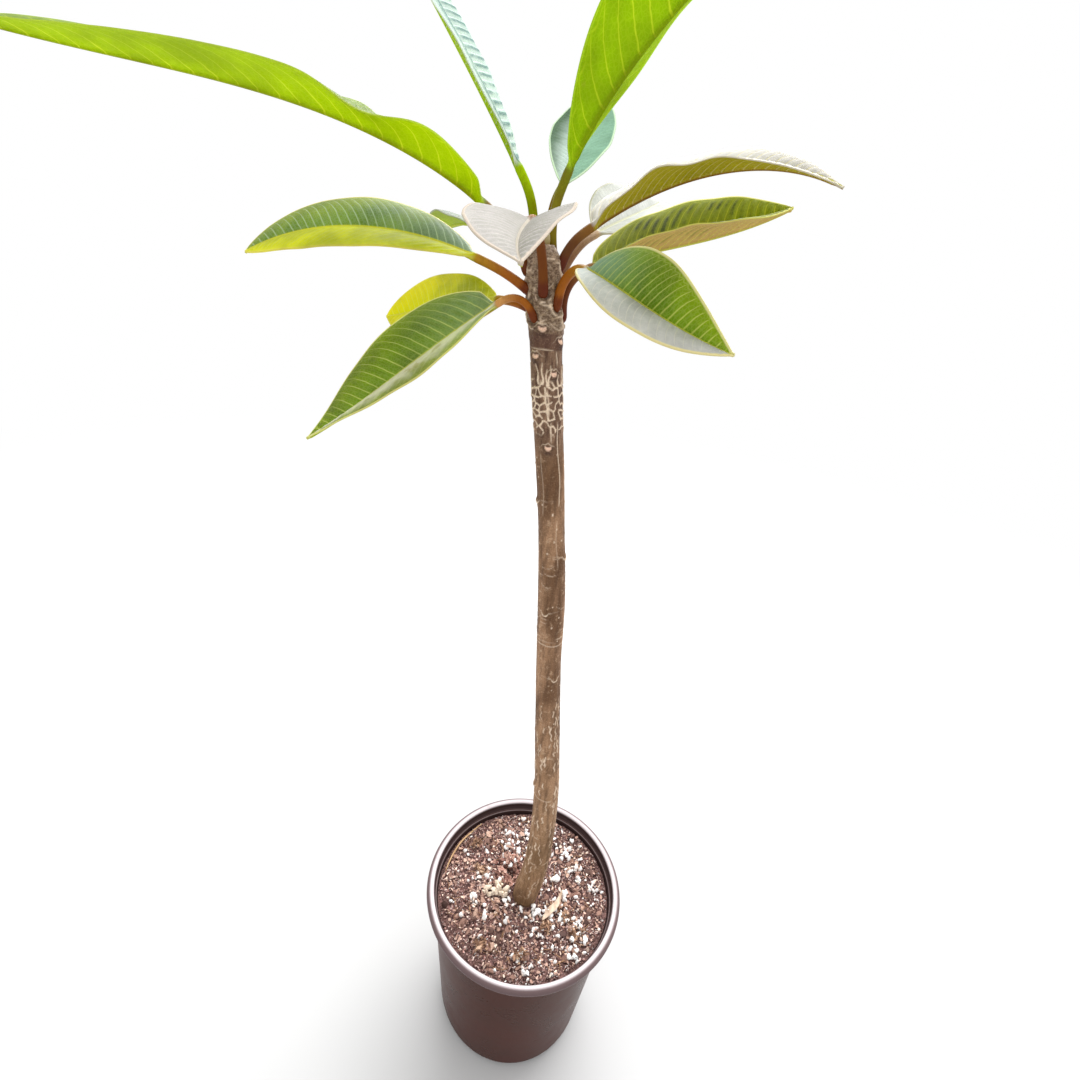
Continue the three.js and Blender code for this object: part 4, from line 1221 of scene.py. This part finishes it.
def near_places(rng, middles, count, spread):
    """A few random places round each middle, kept inside the wall and clear of the stem."""
    places = np.repeat(np.asarray(middles, float), count, axis=0)
    places = places + rng.normal(0, spread, places.shape)
    inside = np.hypot(*places.T) < inner_radius(SOIL_LEVEL) - SOIL_GAP - 3.2
    return places[inside & clear_of_stem(*places.T, 11.5)]


def everywhere(x, y):
    return 1.0


def on_right(x, y):
    return 0.22 + 0.78 * float(smooth((x + 26 + 0.25 * y) / 24))


def on_left(x, y):
    return 1.0 - 0.75 * float(smooth((x + 30) / 24))


def make_grains():
    rng = np.random.default_rng(41)

    def spread(name, material, count, share, margin, radii, flatness, lift, seed, roughness=0.8):
        spots = free_places(rng, count, share, margin)
        scatter_grains(name, material, spots, rng.uniform(*radii, count), flatness, lift, seed, roughness)

    fine = crumb_material("crumb_skin", (78, 52, 50), (186, 148, 140), (252, 232, 224))
    red = crumb_material("red_crumb_skin", (104, 64, 58), (200, 152, 142), (252, 226, 212))
    shred = crumb_material("shred_skin", (150, 112, 98), (214, 176, 158), (252, 234, 216), 0.8)
    chip = crumb_material("chip_skin", (76, 52, 46), (150, 114, 100), (206, 170, 150), 0.85)
    rust = crumb_material("rust_skin", (108, 70, 62), (182, 136, 122), (232, 196, 180))
    clod = crumb_material("clod_skin", (104, 74, 56), (172, 134, 108), (214, 180, 152))
    white = perlite_material("perlite_skin", (252, 250, 248), (214, 208, 206))
    cream = perlite_material("cream_skin", (226, 210, 190), (176, 152, 130))
    spread("crumbs", fine, 5200, everywhere, 1.5, (0.45, 1.4), 0.7, 0.1, 1)
    spread("red_crumbs", red, 2600, on_left, 1.5, (0.4, 1.1), 0.7, 0.3, 2)
    spread("bark_chips", chip, 300, everywhere, 4, (1.6, 3.8), 0.35, 0.3, 3, 0.5)
    spread("shreds", shred, 1500, everywhere, 3, (0.7, 1.9), 0.3, 1.0, 9, 0.9)
    single = free_places(rng, 120, on_right, 3.5)
    spots = np.vstack([single, near_places(rng, free_places(rng, 40, on_right, 6), 5, 2.2)])
    sizes = 0.9 + 2.0 * rng.beta(1.6, 2.0, len(spots))
    scatter_grains("perlite", white, spots, sizes, 0.9, 0.75, 4, 0.45, 2)
    spread("perlite_dust", white, 700, on_right, 1, (0.3, 0.8), 0.9, 0.9, 5)
    ring = near_places(rng, [(HOLLOW[0] - 1, HOLLOW[1] + 1)], 420, 6.6)
    ring = ring[np.hypot(ring[:, 0] - HOLLOW[0], ring[:, 1] - HOLLOW[1]) > 4.0]
    scatter_grains("clump", rust, ring, rng.uniform(0.9, 2.2, len(ring)), 0.8, 0.9, 6)
    pale = np.column_stack([rng.uniform(-31, -12, 26), rng.normal(-2.5, 2.6, 26)])
    scatter_grains("pale_clump", cream, pale, rng.uniform(2.0, 3.4, 26), 0.85, 0.7, 7, 0.5, 2)
    lumps = near_places(rng, CLODS, 42, 2.3)
    scatter_grains("clods", clod, lumps, rng.uniform(1.0, 2.3, len(lumps)), 0.8, 1.5, 8)


def strand(path, radius, sides, taper=0.75):
    """Points and faces of a thin bent rod along a path, thinner towards its ends."""
    along = unit(np.gradient(path, axis=0))
    side = unit(np.cross(along, np.array([0.13, 0.07, 1.0])))
    width = radius * (1 - taper * np.abs(np.linspace(-1, 1, len(path))) ** 3)
    turn = 2 * np.pi * np.arange(sides) / sides
    return capped_tube(tube_rings(path, side, np.cross(side, along), width, turn))


def make_fibres():
    """Coir fibres that lie on the mix."""
    rng = np.random.default_rng(77)
    everything, faces, start = [], [], 0
    for x, y in free_places(rng, 90, everywhere, 8):
        angle = rng.uniform(0, 2 * np.pi)
        t = np.linspace(-0.5, 0.5, 9)
        length, bend = rng.uniform(5, 13), rng.uniform(-0.8, 0.8)
        px = x + length * t * math.cos(angle) - bend * length * t * t * math.sin(angle)
        py = y + length * t * math.sin(angle) + bend * length * t * t * math.cos(angle)
        pz = soil_height(px, py) + 1.1 + 0.5 * rng.uniform() - 2.0 * t * t
        points, quads = strand(np.column_stack([px, py, pz]), rng.uniform(0.16, 0.3), 5)
        everything.append(points)
        faces += [[index + start for index in face] for face in quads]
        start += len(points)
    g = Graph("fibre_skin")
    colour = g.mix(g.noise(120), (110, 70, 48), (190, 150, 110))
    material = g.skin(colour, 0.8, g.bump(g.noise(1500), 0.0002, 0.5))
    make_piece("coir_fibres", np.vstack(everything), faces, material)


TWIG = [(-64.0, 6.0), (-60.5, 22.0), (-53.0, 37.0), (-41.0, 51.0)]  # along the pot's wall
SLIVER = [(16.0, -22.0), (21.0, -16.0), (27.0, -9.0), (31.0, 1.0)]
LAID_ROWS = 28


def laid_line(points, part):
    """x and y of a smooth line through four points."""
    return [curve_through(range(4), [point[k] for point in points], 3 * part) for k in (0, 1)]


def make_twig():
    part = np.linspace(0, 1, LAID_ROWS)
    path = laid_line(TWIG, part)
    height = 0.3 * soil_height(*path) + 0.7 * (SOIL_LEVEL + 2) + 1.3 + 0.4 * np.sin(part * 15)
    points, faces = strand(np.column_stack([*path, height]), 0.75, 8, 0.6)
    g = Graph("twig_skin")
    colour = g.mix(g.noise(160, 4, 0.6), (150, 112, 74), (206, 172, 130))
    material = g.skin(colour, 0.75, g.bump(g.noise(1200), 0.0003, 0.6))
    make_piece("twig", points, faces, material)


def make_sliver():
    """A dry curled sliver of leaf."""
    part = np.linspace(0, 1, LAID_ROWS)
    path = laid_line(SLIVER, part)
    middle = np.column_stack([*path, soil_height(*path) + 4.4 + 2.2 * part**2])
    along = unit(np.gradient(middle, axis=0))
    side = unit(np.cross(along, np.array([0.0, 0.0, 1.0])))
    up = np.cross(side, along)
    width = (0.35 + 2.5 * np.sin(np.pi * part) ** 0.9 * (1 - 0.35 * part))[:, None]
    turn = 2 * np.pi * np.arange(14) / 14
    across, lift = np.cos(turn)[None], np.sin(turn)[None]
    curl = 0.35 * width * across**2
    rings = middle[:, None] + side[:, None] * (width * across)[..., None]
    rings = rings + up[:, None] * (curl + 0.28 * lift * (1 + 0 * width))[..., None]
    points, faces = capped_tube(rings)
    g = Graph("sliver_skin")
    grain = g.noise(300, 5, 0.6, g.stretched(1, 0.5, 1))
    colour = g.mix(g.rise(grain, 0.35, 0.65), (168, 140, 116), (210, 188, 166))
    make_piece("dry_sliver", points, faces, g.skin(colour, 0.7, g.bump(grain, 0.0005, 0.7)))


# ---- stage, lights and camera
FLOOR_REACH = 14.0  # metres
ROOM_LIGHT = 1.2  # that the white surroundings throw on the plant; the camera sees them at 1.0
WINDOW_LIGHT = 4.6  # brightness of the big soft light, on the same scale
WINDOW_SIZE = 3.0
WINDOW_PLACE, WINDOW_TARGET = (0.5, 1.6, 2.1), (-0.03, 0.0, 0.45)


def make_stage():
    """A plain floor: pale round the plant, and as white as the studio's walls far off."""
    mesh = bpy.data.meshes.new("floor")
    corners = [(-1, -1), (1, -1), (1, 1), (-1, 1)]
    mesh.from_pydata([(FLOOR_REACH * x, FLOOR_REACH * y, -0.2 * MM) for x, y in corners], [], [(0, 1, 2, 3)])
    g = Graph("floor_skin")
    far = g.node("ShaderNodeVectorMath", {0: g.place}, operation="LENGTH").outputs["Value"]
    paint = g.node("ShaderNodeBsdfDiffuse", {"Color": (0.52, 0.52, 0.52, 1.0)}).outputs[0]
    glow = g.node("ShaderNodeEmission", {"Color": (1.0, 1.0, 1.0, 1.0), "Strength": 1.0}).outputs[0]
    surface = g.node("ShaderNodeMixShader", {0: g.rise(far, 0.5, 1.9), 1: paint, 2: glow}).outputs[0]
    g.node("ShaderNodeOutputMaterial", {"Surface": surface})
    mesh.materials.append(g.material)
    floor = bpy.data.objects.new("floor", mesh)
    bpy.context.scene.collection.objects.link(floor)


def make_lights():
    world = bpy.data.worlds.new("studio")
    world.use_nodes = True
    tree = world.node_tree
    background = tree.nodes["Background"]
    background.inputs["Color"].default_value = (1.0, 1.0, 1.0, 1.0)
    seen = tree.nodes.new("ShaderNodeLightPath").outputs["Is Camera Ray"]
    strength = tree.nodes.new("ShaderNodeMapRange")
    strength.inputs["To Min"].default_value = ROOM_LIGHT
    tree.links.new(seen, strength.inputs["Value"])
    tree.links.new(strength.outputs[0], background.inputs["Strength"])
    bpy.context.scene.world = world
    data = bpy.data.lights.new("window", "AREA")
    data.size = WINDOW_SIZE
    data.energy = WINDOW_LIGHT * math.pi * WINDOW_SIZE**2
    window = bpy.data.objects.new("window", data)
    window.location = WINDOW_PLACE
    window.rotation_euler = (Vector(WINDOW_TARGET) - window.location).to_track_quat("-Z", "Y").to_euler()
    window.visible_camera = False
    bpy.context.scene.collection.objects.link(window)


def make_camera():
    data = bpy.data.cameras.new("camera")
    data.sensor_width = SENSOR
    data.lens = FOCAL_PIXELS / FRAME_PIXELS * SENSOR
    data.clip_start = 0.01
    camera = bpy.data.objects.new("camera", data)
    turn = Matrix.Rotation(math.radians(90 - CAMERA_DOWN), 4, "X")
    turn = turn @ Matrix.Rotation(math.radians(CAMERA_ROLL), 4, "Z")
    camera.matrix_world = Matrix.Translation([value * MM for value in CAMERA_PLACE]) @ turn
    bpy.context.scene.collection.objects.link(camera)
    bpy.context.scene.camera = camera


bpy.context.scene.view_settings.view_transform = "Standard"
make_camera()
make_stage()
make_lights()
make_pot()
make_soil_bed()
make_grains()
make_fibres()
make_twig()
make_sliver()
make_stem()
make_bud()
for leaf_row in LEAVES:
    make_leaf(leaf_row)
